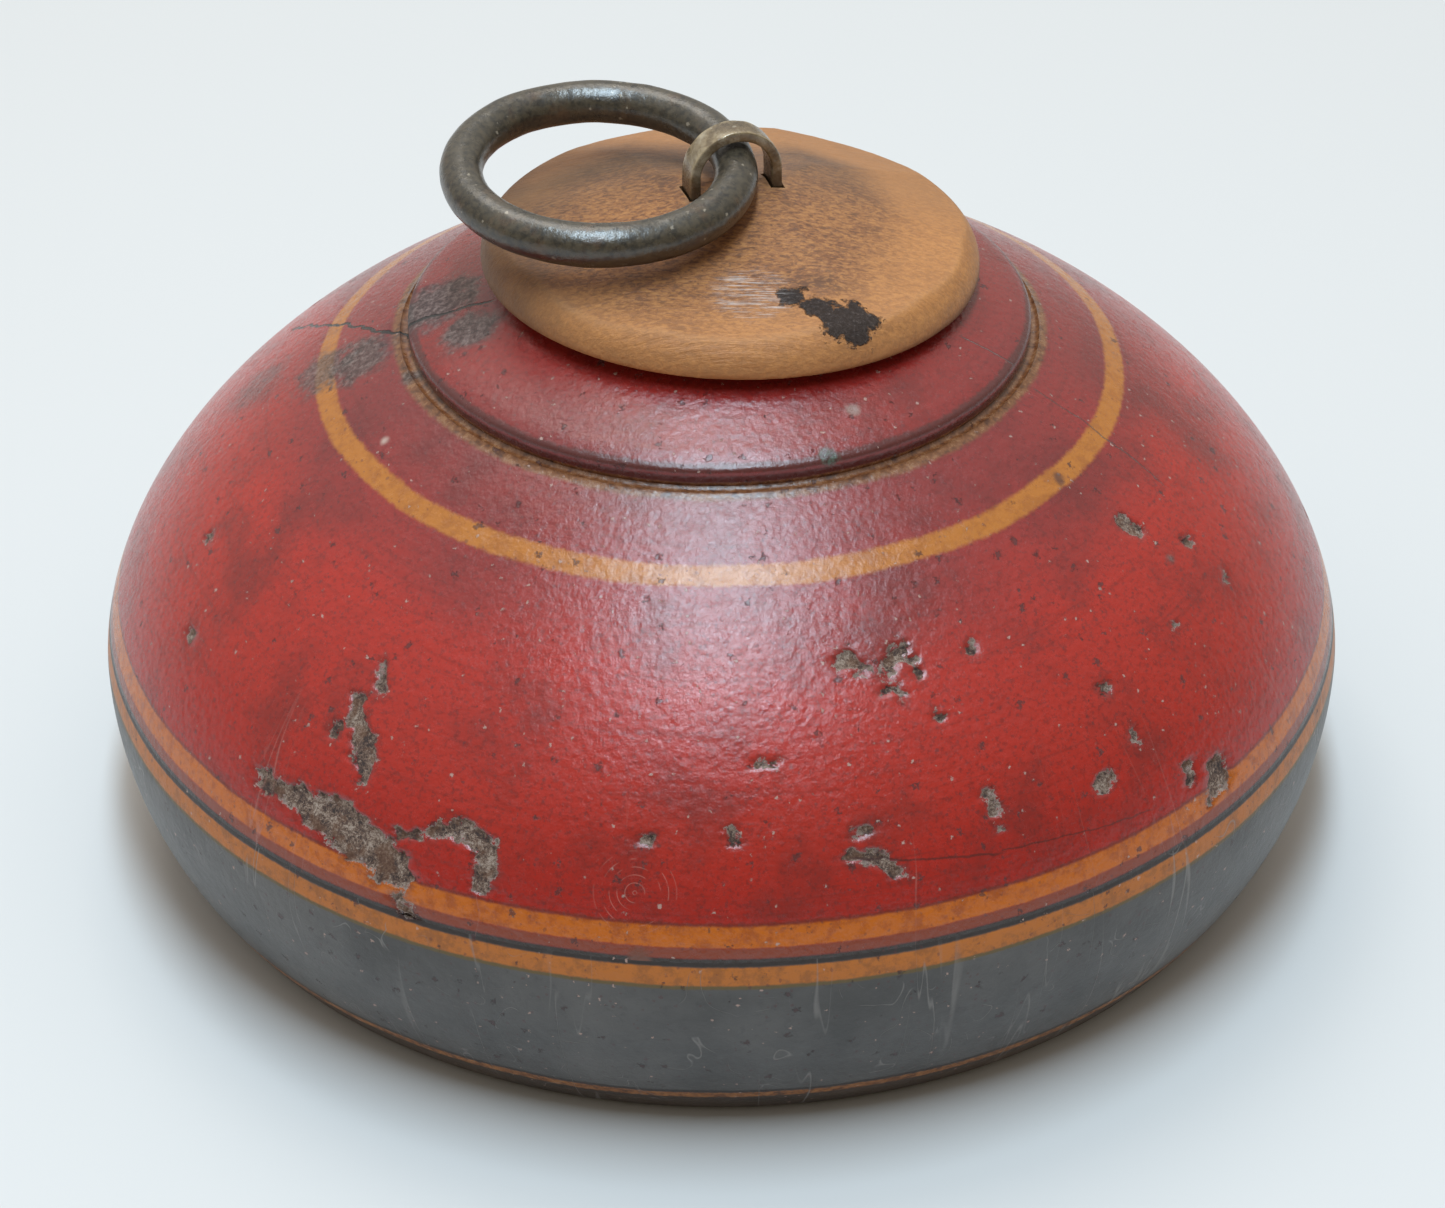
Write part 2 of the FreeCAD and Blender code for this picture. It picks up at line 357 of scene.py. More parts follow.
# %% Place on a turned piece
turned_place, ends_in, ends_out = new_group(
    "turned_place", [], [("Point", "vector"), ("Radius", "float"), ("Height", "float"),
                         ("Around", "vector"), ("Along", "vector")])
coordinates = place_node(turned_place, "ShaderNodeTexCoord")
point = vector_calc(turned_place, "SCALE", coordinates.outputs["Object"], scale=1 / mm)
parts = place_node(turned_place, "ShaderNodeSeparateXYZ", {0: point})
flat = place_node(turned_place, "ShaderNodeCombineXYZ",
                  {0: parts.outputs["X"], 1: parts.outputs["Y"], 2: 0.0}).outputs[0]
radius = vector_calc(turned_place, "LENGTH", flat)
direction = vector_calc(turned_place, "NORMALIZE", flat)
compass = place_node(turned_place, "ShaderNodeSeparateXYZ", {0: direction})
along = place_node(turned_place, "ShaderNodeCombineXYZ",
                   {0: calc(turned_place, "MULTIPLY", compass.outputs["X"], 60.0),
                    1: calc(turned_place, "MULTIPLY", compass.outputs["Y"], 60.0),
                    2: calc(turned_place, "MULTIPLY", parts.outputs["Z"], 0.08)}).outputs[0]
around = place_node(turned_place, "ShaderNodeCombineXYZ",
                    {0: calc(turned_place, "MULTIPLY", compass.outputs["X"], 2.5),
                     1: calc(turned_place, "MULTIPLY", compass.outputs["Y"], 2.5),
                     2: calc(turned_place, "SUBTRACT", parts.outputs["Z"], radius)}).outputs[0]
connect(turned_place, point, ends_out, "Point")
connect(turned_place, radius, ends_out, "Radius")
connect(turned_place, parts.outputs["Z"], ends_out, "Height")
connect(turned_place, around, ends_out, "Around")
connect(turned_place, along, ends_out, "Along")
print("group", turned_place.name)

# %% A painted band
painted_band, ends_in, ends_out = new_group(
    "painted_band", [("Height", "float", 0.0), ("Point", "vector", (0, 0, 0)),
                     ("Low", "float", 0.0), ("High", "float", 1.0), ("Waver", "float", 0.3)],
    [("Mask", "float")])
slow = noise(painted_band, ends_in.outputs["Point"], 0.09, 2.0)
quick = noise(painted_band, ends_in.outputs["Point"], 1.6, 2.0)
both = calc(painted_band, "ADD", calc(painted_band, "MULTIPLY", slow, 1.6), quick)
shake = calc(painted_band, "MULTIPLY", calc(painted_band, "SUBTRACT", both, 1.3),
             ends_in.outputs["Waver"])
level = calc(painted_band, "ADD", ends_in.outputs["Height"], shake)
above = soft_step(painted_band, calc(painted_band, "SUBTRACT", level, ends_in.outputs["Low"]),
                  -0.14, 0.14)
below = soft_step(painted_band, calc(painted_band, "SUBTRACT", ends_in.outputs["High"], level),
                  -0.14, 0.14)
connect(painted_band, calc(painted_band, "MULTIPLY", above, below), ends_out, "Mask")

# %% Specks of dust or pits
specks, ends_in, ends_out = new_group(
    "specks", [("Point", "vector", (0, 0, 0)), ("Per mm", "float", 0.5), ("Size", "float", 0.1),
               ("Share", "float", 0.3)], [("Mask", "float")])
cell = place_node(specks, "ShaderNodeTexVoronoi", {"Vector": ends_in.outputs["Point"],
                                                   "Scale": ends_in.outputs["Per mm"]})
shade = place_node(specks, "ShaderNodeSeparateColor", {0: cell.outputs["Color"]})
ragged = calc(specks, "MULTIPLY", noise(specks, ends_in.outputs["Point"], 2.6, 4.0, 0.7), 1.1)
reach = calc(specks, "MULTIPLY", ends_in.outputs["Size"],
             calc(specks, "ADD", shade.outputs[1], 0.3))
near = soft_step(specks, calc(specks, "SUBTRACT", reach,
                              calc(specks, "ADD", cell.outputs["Distance"],
                                   calc(specks, "SUBTRACT", ragged, 0.55))), 0.0, 0.05)
chosen = calc(specks, "LESS_THAN", shade.outputs[0], ends_in.outputs["Share"])
connect(specks, calc(specks, "MULTIPLY", near, chosen), ends_out, "Mask")

# %% Fine scratches
scratches, ends_in, ends_out = new_group(
    "scratches", [("Vector", "vector", (0, 0, 0)), ("Per mm", "float", 1.0),
                  ("Thinness", "float", 0.03)], [("Mask", "float")])
lines = noise(scratches, ends_in.outputs["Vector"], ends_in.outputs["Per mm"], 1.0, 0.4, 0.6)
gap = calc(scratches, "ABSOLUTE", calc(scratches, "SUBTRACT", lines, 0.5))
thin = calc(scratches, "SUBTRACT", 1.0, soft_step(scratches, gap, 0.0,
                                                  ends_in.outputs["Thinness"]))
broken = soft_step(scratches, noise(scratches, ends_in.outputs["Vector"], 0.21, 2.0), 0.5, 0.62)
connect(scratches, calc(scratches, "MULTIPLY", thin, broken), ends_out, "Mask")

# %% A ragged patch
ragged_patch, ends_in, ends_out = new_group(
    "ragged_patch", [("Point", "vector", (0, 0, 0)), ("Centre", "vector", (0, 0, 0)),
                     ("Reach", "float", 3.0), ("Ragged", "float", 2.0), ("Soft", "float", 0.4)],
    [("Mask", "float")])
away = vector_calc(ragged_patch, "DISTANCE", ends_in.outputs["Point"], ends_in.outputs["Centre"])
frayed = calc(ragged_patch, "MULTIPLY",
              calc(ragged_patch, "SUBTRACT",
                   noise(ragged_patch, ends_in.outputs["Point"], 0.55, 5.0, 0.65), 0.5),
              ends_in.outputs["Ragged"])
inside = calc(ragged_patch, "SUBTRACT", ends_in.outputs["Reach"],
              calc(ragged_patch, "ADD", away, frayed))
softness = calc(ragged_patch, "DIVIDE", inside, ends_in.outputs["Soft"])
connect(ragged_patch, soft_step(ragged_patch, softness, -0.5, 0.5), ends_out, "Mask")

# %% A hairline crack
hairline, ends_in, ends_out = new_group(
    "hairline", [("Point", "vector", (0, 0, 0)), ("Start", "vector", (0, 0, 0)),
                 ("Along", "vector", (1, 0, 0)), ("Across", "vector", (0, 1, 0)),
                 ("Outward", "vector", (0, 0, 1)), ("Length", "float", 10.0),
                 ("Width", "float", 0.1), ("Wander", "float", 1.0)], [("Mask", "float")])
moved = vector_calc(hairline, "SUBTRACT", ends_in.outputs["Point"], ends_in.outputs["Start"])
travelled = vector_calc(hairline, "DOT_PRODUCT", moved, ends_in.outputs["Along"])
aside = vector_calc(hairline, "DOT_PRODUCT", moved, ends_in.outputs["Across"])
risen = vector_calc(hairline, "DOT_PRODUCT", moved, ends_in.outputs["Outward"])
wander = calc(hairline, "MULTIPLY",
              calc(hairline, "SUBTRACT", noise(hairline, ends_in.outputs["Point"], 0.35, 5.0), 0.5),
              ends_in.outputs["Wander"])
across = calc(hairline, "ABSOLUTE", calc(hairline, "ADD", aside, wander))
narrow = soft_step(hairline, calc(hairline, "SUBTRACT", ends_in.outputs["Width"], across),
                   -0.06, 0.06)
started = soft_step(hairline, travelled, -0.3, 0.6)
ended = soft_step(hairline, calc(hairline, "SUBTRACT", ends_in.outputs["Length"], travelled),
                  -0.3, 2.0)
this_side = calc(hairline, "GREATER_THAN", risen, -12.0)
whole = calc(hairline, "MULTIPLY", started, calc(hairline, "MULTIPLY", ended, this_side))
connect(hairline, calc(hairline, "MULTIPLY", narrow, whole), ends_out, "Mask")
print("groups", [group.name for group in bpy.data.node_groups])


# %% [markdown]
# ## The outline of the turned vessel
# The dome follows a superellipse, which is flatter on the shoulder than an ellipse. The bowl
# is one round arc. Both halves are hollow, and a tongue on the lower half enters a recess in
# the upper half, where they are glued.

# %% Outline curves
def dome_points(across, rise, low, high, count):
    """Points (radius, height) up a dome, from height low to high above the belly."""
    start = math.asin(min(1.0, (low / rise) ** (dome_exponent / 2)))
    end = math.asin(min(1.0, (high / rise) ** (dome_exponent / 2)))
    points = []
    for step in range(count + 1):
        angle = start + (end - start) * step / count
        power = 2 / dome_exponent
        radius = across * max(math.cos(angle), 0.0) ** power
        points.append((radius, belly_height + rise * math.sin(angle) ** power))
    return points


def dome_height_at(across, rise, radius):
    return rise * (1 - (radius / across) ** dome_exponent) ** (1 / dome_exponent)


def arc_points(centre, radius, first, last, count):
    """Points on a round arc between two angles in degrees."""
    points = []
    for step in range(count + 1):
        angle = math.radians(first + (last - first) * step / count)
        points.append((centre[0] + radius * math.cos(angle), centre[1] + radius * math.sin(angle)))
    return points


collar_radius = 31.7 * mm
collar_step = 1.7 * mm
groove_radius = 0.65 * mm
mouth_radius = 17.0 * mm
lip_width = 4.0 * mm
tongue_cover = 2.8 * mm
tongue_height = 4.0 * mm
glue_gap = 0.05 * mm
collar_foot = belly_height + dome_height_at(belly_radius, dome_rise, collar_radius)
collar_top = collar_foot + collar_step
lip_radius = mouth_radius + lip_width
cavity_radius = belly_radius - wall
cavity_rise = dome_rise - wall
seam_rise = seam_height - belly_height
seam_radius = dome_points(belly_radius, dome_rise, seam_rise, seam_rise, 1)[0][0]
tongue_radius = seam_radius - tongue_cover
tongue_top = seam_height + tongue_height
print("collar at", round(collar_foot / mm, 2), "seam radius", round(seam_radius / mm, 2), "mm")

# %% [markdown]
# ## The red dome
# The outline starts at the seam, climbs the shoulder to the worn groove round the collar, goes
# over the collar to the lip, down the mouth and back inside. It is spun with many narrow
# steps, because chips in the lacquer are cut into its surface next.

# %% Turn the dome
groove_centre = (collar_radius + groove_radius / 2, collar_foot)
groove_start = collar_radius + 1.45 * groove_radius
groove_rise = dome_height_at(belly_radius, dome_rise, groove_start)
collar_slope = math.atan2(lip_height - collar_top, collar_radius - lip_radius)
dome_outline = dome_points(belly_radius, dome_rise, seam_rise, groove_rise, 112)
dome_outline += arc_points(groove_centre, groove_radius, -30, -150, 7)
dome_outline += [(collar_radius, collar_foot + 0.2 * mm)]
edge_round = 0.8 * mm
dome_outline += arc_points((collar_radius - edge_round, collar_top - edge_round + 0.12 * mm),
                           edge_round, 0, 66, 6)
dome_outline += [(collar_radius - share * (collar_radius - lip_radius),
                  collar_top + share * (lip_height - collar_top))
                 for share in (0.09, 0.2, 0.3, 0.4, 0.5, 0.6, 0.7, 0.8, 0.9)]
lip_round = 1.0 * mm
mouth_round = 0.5 * mm
dome_outline += arc_points((lip_radius - 0.3 * mm, lip_height - lip_round), lip_round, 66, 90, 3)
dome_outline += [(mouth_radius + mouth_round, lip_height)]
dome_outline += arc_points((mouth_radius + mouth_round, lip_height - mouth_round),
                           mouth_round, 100, 180, 4)
mouth_inside = dome_height_at(cavity_radius, cavity_rise, mouth_radius)
recess_rise = tongue_top + glue_gap - belly_height
dome_outline += dome_points(cavity_radius, cavity_rise, mouth_inside, recess_rise, 26)
dome_outline += [(tongue_radius + glue_gap, tongue_top + glue_gap),
                 (tongue_radius + glue_gap, seam_height), dome_outline[0]]
lacquered_dome = turned_piece("lacquered_dome", dome_outline, turning_steps)
print("dome", len(lacquered_dome.data.vertices), "vertices")


# %% [markdown]
# ## Chips in the lacquer
# Knocks have broken flakes out of the lacquer down to the wood. Each chip is a short path on
# the surface, given by its bearing from the front, its height and its half width. The mesh is
# refined near the chips, and every vertex learns how deep inside a chip it lies. The material
# reads that number for its ragged edges, and a Displace modifier sinks the same places into
# the surface.

# %% Chips
def surface_point(bearing, height):
    """A point on the outside of the vessel, in millimetres, from degrees and millimetres."""
    rise = height * mm - belly_height
    if height * mm > collar_top:
        share = (height * mm - collar_top) / (lip_height - collar_top)
        radius = collar_radius + share * (lip_radius - collar_radius)
    elif rise >= 0:
        radius = belly_radius * (1 - (rise / dome_rise) ** dome_exponent) ** (1 / dome_exponent)
    else:
        radius = belly_radius - bowl_arc_radius + math.sqrt(bowl_arc_radius ** 2 - rise ** 2)
    angle = math.radians(bearing)
    return np.array((radius / mm * math.sin(angle), -radius / mm * math.cos(angle), height))


chip_paths = [
    [(-45.5, 30.1, 1.3), (-43.5, 30.0, 0.8), (-41.1, 30.2, 1.4), (-37.5, 29.9, 2.0),
     (-33.5, 29.2, 2.3), (-30.0, 28.0, 2.0), (-28.8, 27.3, 1.2)],
    [(-28.6, 25.6, 0.7), (-27.9, 24.6, 0.9)],
    [(-29.4, 31.0, 0.5), (-27.8, 31.6, 0.6), (-25.6, 32.3, 0.6), (-23.6, 32.9, 0.9),
     (-21.4, 32.0, 1.1), (-20.9, 30.4, 0.9), (-21.3, 28.4, 0.8)],
    [(-38.9, 39.2, 0.8), (-38.0, 37.7, 1.0), (-36.4, 36.7, 1.5), (-35.6, 35.5, 1.2),
     (-34.9, 33.9, 0.4)],
    [(-37.9, 42.3, 0.4), (-37.0, 40.6, 0.7)],
    [(-40.4, 37.6, 0.4), (-39.8, 36.3, 0.5)],
    [(14.2, 46.1, 0.9), (15.6, 45.3, 0.7)],
    [(21.0, 46.4, 0.7), (19.0, 45.6, 0.8), (18.0, 44.0, 0.9), (19.5, 43.2, 0.4)],
    [(19.5, 45.6, 0.3), (21.9, 45.2, 0.3), (21.9, 43.9, 0.3)],
    [(11.3, 32.4, 0.5), (12.9, 32.3, 0.9), (14.2, 31.6, 0.9), (15.9, 30.2, 0.4)],
    [(13.0, 34.6, 0.35), (12.4, 34.2, 0.5)],
    [(25.2, 35.0, 0.6), (25.4, 33.6, 0.8), (25.6, 32.4, 0.4)],
    [(36.2, 32.4, 0.7), (37.9, 32.9, 0.7)],
    [(50.5, 28.6, 1.3), (50.3, 27.4, 1.4), (48.4, 26.6, 0.8)],
    [(46.9, 30.2, 0.6), (46.6, 28.7, 0.5)],
    [(58.0, 47.4, 0.8), (59.0, 46.2, 0.7)],
    [(64.2, 43.1, 0.7)], [(65.4, 39.5, 0.6)],
    [(0.7, 35.2, 0.4), (0.9, 34.4, 0.5)], [(-6.5, 34.3, 0.45)],
    [(3.6, 39.6, 0.4), (5.4, 39.7, 0.5)], [(42.3, 35.3, 0.4), (42.6, 34.4, 0.35)],
    [(40.8, 39.6, 0.35), (41.7, 38.6, 0.4)], [(28.5, 45.0, 0.45)], [(54.0, 39.9, 0.5)],
    [(22.6, 41.4, 0.45)], [(-72.6, 40.6, 0.6)], [(-64.5, 35.6, 0.5), (-64.1, 34.8, 0.4)],
    [(118.0, 33.0, 1.4), (122.0, 31.6, 1.7), (126.0, 31.4, 0.9)],
    [(165.0, 38.0, 0.8), (167.5, 36.2, 1.0)], [(-150.0, 29.5, 1.2), (-146.0, 28.6, 1.5)],
    [(-120.0, 44.0, 0.7)], [(-172.0, 46.5, 0.6)], [(143.0, 45.0, 0.5)], [(95.0, 28.6, 0.9)],
]


def chip_field(points, paths):
    """Millimetres inside the nearest chip for each point; negative numbers lie outside."""
    field = np.full(len(points), -3.0)
    for path in paths:
        stations = [(surface_point(b, h), width) for b, h, width in path]
        for (start, wide), (end, wide_end) in zip(stations, stations[1:] or stations):
            span = end - start
            length = max(float(span @ span), 1e-9)
            share = np.clip((points - start) @ span / length, 0, 1)
            away = np.linalg.norm(points - start - share[:, None] * span, axis=1)
            field = np.maximum(field, wide + (wide_end - wide) * share - away)
    return field


def ragged_field(points):
    """The chip field with a fractal tremble near the chips, so that their edges are torn."""
    field = chip_field(points, chip_paths)
    for index in np.nonzero(field > -1.6)[0]:
        where = Vector(points[index])
        field[index] += 0.85 * fractal(where * 0.8, 0.9, 2.0, 5) - 0.1
    return field


chip_depth = 0.35 * mm


def sink_chips(piece):
    """Refine the mesh near the chips, paint the chip field and press the chips in."""
    near = chip_field(points_of(piece) / mm, chip_paths) > -0.7
    select_only(piece)
    bpy.ops.object.mode_set(mode="EDIT")
    bpy.ops.mesh.select_mode(type="VERT")
    bpy.ops.mesh.select_all(action="DESELECT")
    bpy.ops.object.mode_set(mode="OBJECT")
    piece.data.vertices.foreach_set("select", near)
    bpy.ops.object.mode_set(mode="EDIT")
    bpy.ops.mesh.subdivide(number_cuts=1)
    bpy.ops.object.mode_set(mode="OBJECT")
    field = ragged_field(points_of(piece) / mm)
    paint(piece, "chip", field)
    group = piece.vertex_groups.new(name="chip_depth")
    steps = 8
    weight = np.clip(field / 0.5 + 0.4, 0, 1)
    for step in range(1, steps + 1):
        chosen = np.nonzero(np.ceil(weight * steps) == step)[0]
        group.add([int(index) for index in chosen], step / steps, "REPLACE")
    apply_modifier(piece, "DISPLACE", strength=-chip_depth, mid_level=0.0,
                   vertex_group="chip_depth", direction="NORMAL")
    print(piece.name, "has", int((field > 0).sum()), "vertices inside chips")


sink_chips(lacquered_dome)

# %% [markdown]
# ## The red finish
# Old lacquer is never one red. It is bright on the shoulder, darker near the collar and the
# seam, mottled by wear, dimpled like orange peel and crossed by hairline cracks. Yellow bands
# were painted on the lathe, so they waver a little.

# %% Colours of the finishes
bright_red = (0.42, 0.020, 0.012)
deep_red = (0.36, 0.010, 0.006)
maroon = (0.21, 0.022, 0.022)
yellow = (0.45, 0.150, 0.018)
orange_red = (0.235, 0.038, 0.014)
line_dark = (0.028, 0.020, 0.018)
bare_wood = (0.235, 0.145, 0.095)
broken_edge = (0.66, 0.52, 0.46)
slate = (0.098, 0.095, 0.094)
dust = (0.50, 0.33, 0.28)


# %% Chips, specks and cracks as colour
def worn_lacquer(tree, place, colour):
    """Lay specks, pits and chips over a lacquer colour; gives colour, chip and bump masks."""
    point = place.outputs["Point"]
    field = place_node(tree, "ShaderNodeAttribute", attribute_name="chip").outputs["Fac"]
    tremble = calc(tree, "SUBTRACT", noise(tree, point, 1.7, 6.0, 0.75), 0.5)
    frayed = calc(tree, "MULTIPLY", tremble, 2.4)
    edge = calc(tree, "ADD", field, frayed)
    chip = soft_step(tree, edge, -0.02, 0.10)
    rim = calc(tree, "MULTIPLY", soft_step(tree, edge, -0.10, -0.02),
               calc(tree, "SUBTRACT", 1.0, soft_step(tree, edge, 0.05, 0.16)))
    rim = calc(tree, "MULTIPLY", rim, soft_step(tree, noise(tree, point, 0.7, 3.0), 0.38, 0.54))
    bruise = calc(tree, "MULTIPLY", soft_step(tree, edge, -0.9, 0.1), 0.45)
    white = use_group(tree, specks, {"Point": point, "Per mm": 0.85, "Size": 0.11, "Share": 0.42})
    pits = use_group(tree, specks, {"Point": point, "Per mm": 0.50, "Size": 0.15, "Share": 0.50})
    fibre = calc(tree, "ADD", calc(tree, "MULTIPLY", noise(tree, point, 3.4, 6.0, 0.85, 0.7), 0.75),
                 calc(tree, "MULTIPLY", noise(tree, point, 0.7, 3.0, 0.6), 0.30))
    wood = colour_ramp(tree, fibre,
                       [(0.46, (0.034, 0.020, 0.018)), (0.505, (0.125, 0.062, 0.044)),
                        (0.545, bare_wood), (0.60, (0.50, 0.39, 0.32))])
    warm = soft_step(tree, noise(tree, point, 0.55, 3.0), 0.50, 0.62)
    wood = tint(tree, wood, warm, 0.55, (0.17, 0.066, 0.026))
    flecks = use_group(tree, specks, {"Point": point, "Per mm": 1.3, "Size": 0.20, "Share": 0.5})
    flecked = tint(tree, colour, flecks.outputs[0], 0.45, (0.085, 0.022, 0.026))
    bruised = blend_colour(tree, bruise, flecked, (0.075, 0.018, 0.018, 1))
    pitted = tint(tree, bruised, pits.outputs[0], 0.72, (0.062, 0.022, 0.024))
    dusty = tint(tree, pitted, white.outputs[0], 0.80, dust)
    chipped = blend_colour(tree, chip, dusty, wood)
    rimmed = tint(tree, chipped, rim, 0.85, broken_edge)
    return rimmed, chip, pits.outputs[0], white.outputs[0]


# %% Marks on the surface
def hairline_mark(tree, point, start, end, width, wander):
    """A crack or scratch between two (bearing, height) places; gives its mask."""
    first, last = Vector(surface_point(*start)), Vector(surface_point(*end))
    along = (last - first).normalized()
    outward = Vector((first.x + last.x, first.y + last.y, first.z + last.z - 40.0))
    across = along.cross(outward).normalized()
    outward = across.cross(along).normalized()
    feeds = {"Point": point, "Start": first, "Along": along, "Across": across,
             "Outward": outward, "Length": (last - first).length, "Width": width,
             "Wander": wander}
    return use_group(tree, hairline, feeds).outputs[0]


def blotch(tree, point, colour, spot, reach, ragged, paint_colour, share, soft=0.8):
    """Lay one ragged stain on a colour; the spot is a (bearing, height) place."""
    patch = use_group(tree, ragged_patch, {"Point": point, "Centre": surface_point(*spot),
                                           "Reach": reach, "Ragged": ragged, "Soft": soft})
    return tint(tree, colour, patch.outputs[0], share, paint_colour)


def lacquer_relief(tree, shader, point, chip, marks):
    """The skin of a lacquer: peel, creases, marks as (mask, rise) pairs, and torn wood."""
    peel = noise(tree, point, 1.1, 2.0, 0.5)
    crease = noise(tree, point, 3.2, 5.0, 0.7, 1.2)
    surface = calc(tree, "ADD", calc(tree, "MULTIPLY", peel, 0.10),
                   calc(tree, "MULTIPLY", crease, 0.035))
    for mask, rise in marks:
        surface = calc(tree, "ADD", surface, calc(tree, "MULTIPLY", mask, rise))
    rough_wood = calc(tree, "MULTIPLY", noise(tree, point, 2.6, 6.0, 0.8), 0.40)
    surface = blend_value(tree, chip, surface, calc(tree, "SUBTRACT", rough_wood, 0.40))
    connect(tree, bump(tree, surface, 0.9), shader, "Normal")


# %% Red lacquer
red_lacquer, tree, shader = new_material("red_lacquer", bright_red, 0.36)
place = use_group(tree, turned_place, {})
point = place.outputs["Point"]
height = place.outputs["Height"]
level = calc(tree, "DIVIDE", calc(tree, "SUBTRACT", height, 24.0), 40.0)
mottle = calc(tree, "MULTIPLY", calc(tree, "SUBTRACT", noise(tree, point, 0.055, 3.0), 0.5), 0.35)
red = colour_ramp(tree, calc(tree, "ADD", level, mottle),
                  [(0.02, deep_red), (0.14, (0.39, 0.014, 0.009)), (0.30, bright_red),
                   (0.50, bright_red), (0.64, (0.29, 0.022, 0.019)), (0.80, maroon),
                   (0.92, (0.29, 0.020, 0.016))])
cloud = soft_step(tree, noise(tree, point, 0.11, 5.0, 0.6), 0.46, 0.72)
red = tint(tree, red, cloud, 0.55, (0.12, 0.014, 0.014))
grain = soft_step(tree, noise(tree, point, 1.9, 6.0, 0.75), 0.51, 0.60)
red = tint(tree, red, grain, 0.46, (0.115, 0.012, 0.013))
turning = soft_step(tree, noise(tree, place.outputs["Around"], 1.0, 4.0, 0.7), 0.52, 0.70)
red = tint(tree, red, turning, 0.30, (0.13, 0.013, 0.012))


def lay_band(tree, colour, height, point, low, high, paint_colour, waver=0.22, share=1.0):
    """Paint one band over a colour between two heights, in millimetres."""
    band = use_group(tree, painted_band, {"Height": height, "Point": point, "Low": low,
                                          "High": high, "Waver": waver})
    return tint(tree, colour, band.outputs[0], share, paint_colour)


thin_paint = soft_step(tree, noise(tree, point, 0.6, 6.0, 0.75), 0.44, 0.62)
gold = tint(tree, (*yellow, 1), thin_paint, 0.55, (0.30, 0.085, 0.012))
orange = tint(tree, (0.54, 0.125, 0.005, 1), thin_paint, 0.7, (0.31, 0.055, 0.006))
red = lay_band(tree, red, height, point, 50.8, 52.0, gold, 0.28)
red = lay_band(tree, red, height, point, 27.2, 27.6, (0.10, 0.020, 0.010), 0.3, 0.6)
red = lay_band(tree, red, height, point, 25.3, 27.3, orange)
red = lay_band(tree, red, height, point, 24.3, 25.3, orange_red, 0.15)
red = lay_band(tree, red, height, point, 23.0, 24.3, line_dark, 0.12)
groove_wood = colour_ramp(tree, noise(tree, point, 0.9, 4.0, 0.7),
                          [(0.35, (0.08, 0.026, 0.012)), (0.5, (0.19, 0.070, 0.026)),
                           (0.68, (0.29, 0.135, 0.060))])
red = lay_band(tree, red, height, point, 56.3, 57.0, (0.060, 0.010, 0.010), 0.2, 0.75)
red = lay_band(tree, red, height, point, 57.3, 58.0, (0.055, 0.022, 0.020), 0.35, 0.7)
red = lay_band(tree, red, height, point, 55.35, 56.3, groove_wood, 0.25)
red, chip, pits, white = worn_lacquer(tree, place, red)


# %% [markdown]
# ### Stains, scars and cracks
# Each stain is a ragged patch at a bearing and a height. A long crack runs from the mouth
# over the collar and down the left shoulder, and finer ones follow the grain. The thin arcs
# low on the front are scratches left by something round that was turned on the lacquer.

# %% Stains, scars and cracks
soot = colour_ramp(tree, noise(tree, point, 1.7, 6.0, 0.75),
                   [(0.40, (0.018, 0.013, 0.013)), (0.50, (0.070, 0.046, 0.042)),
                    (0.62, (0.185, 0.140, 0.125))])
stains = [((-87.0, 59.2), 4.4, 6.5, 0.92), ((-71.0, 60.1), 3.0, 5.0, 0.90),
          ((-85.0, 53.6), 3.6, 6.5, 0.85), ((-88.0, 51.2), 3.4, 7.0, 0.75),
          ((-96.0, 46.0), 3.5, 8.0, 0.45), ((-72.0, 55.8), 1.2, 3.0, 0.8),
          ((34.0, 57.6), 0.5, 2.4, 0.9), ((27.0, 57.2), 0.3, 2.6, 0.8),
          ((9.0, 57.6), 0.3, 2.2, 0.7), ((-20.0, 57.6), 0.2, 2.4, 0.7),
          ((60.0, 43.4), 0.4, 2.0, 0.8)]
for spot, reach, ragged, share in stains:
    red = blotch(tree, point, red, spot, reach, ragged, soot, share, 0.8 + reach * 0.5)
fleck_green = colour_ramp(tree, noise(tree, point, 3.0, 5.0, 0.8),
                          [(0.45, (0.045, 0.030, 0.026)), (0.55, (0.07, 0.12, 0.09))])
red = blotch(tree, point, red, (19.7, 58.0), 0.9, 3.0, fleck_green, 0.8)
red = blotch(tree, point, red, (28.0, 59.8), 0.7, 2.2, (0.30, 0.20, 0.17), 0.8)
red = blotch(tree, point, red, (54.8, 51.3), 0.6, 1.6, (0.10, 0.035, 0.022), 0.85)
red = blotch(tree, point, red, (-6.9, 24.2), 1.0, 1.4, (0.16, 0.050, 0.028), 0.85)
red = blotch(tree, point, red, (-61.4, 53.0), 0.35, 0.5, (0.50, 0.36, 0.30), 0.9)
crack_left = calc(tree, "MAXIMUM",
                  hairline_mark(tree, point, (-78.0, 61.5), (-84.6, 55.7), 0.16, 1.8),
                  hairline_mark(tree, point, (-84.6, 56.2), (-110.4, 45.4), 0.20, 2.6))
crack_right = calc(tree, "MAXIMUM",
                   hairline_mark(tree, point, (66.0, 60.2), (67.9, 56.0), 0.07, 1.0),
                   hairline_mark(tree, point, (67.9, 55.2), (69.1, 46.1), 0.05, 1.2))
crack_low = hairline_mark(tree, point, (11.3, 32.2), (26.0, 30.2), 0.10, 1.0)
crack_low = calc(tree, "MAXIMUM", crack_low,
                 hairline_mark(tree, point, (25.0, 30.5), (42.0, 28.6), 0.07, 1.0))
cracks = calc(tree, "MAXIMUM", crack_left, crack_right)
red = blend_colour(tree, crack_left, red, (0.02, 0.015, 0.013, 1))
red = tint(tree, red, crack_right, 0.6, (0.30, 0.24, 0.23))
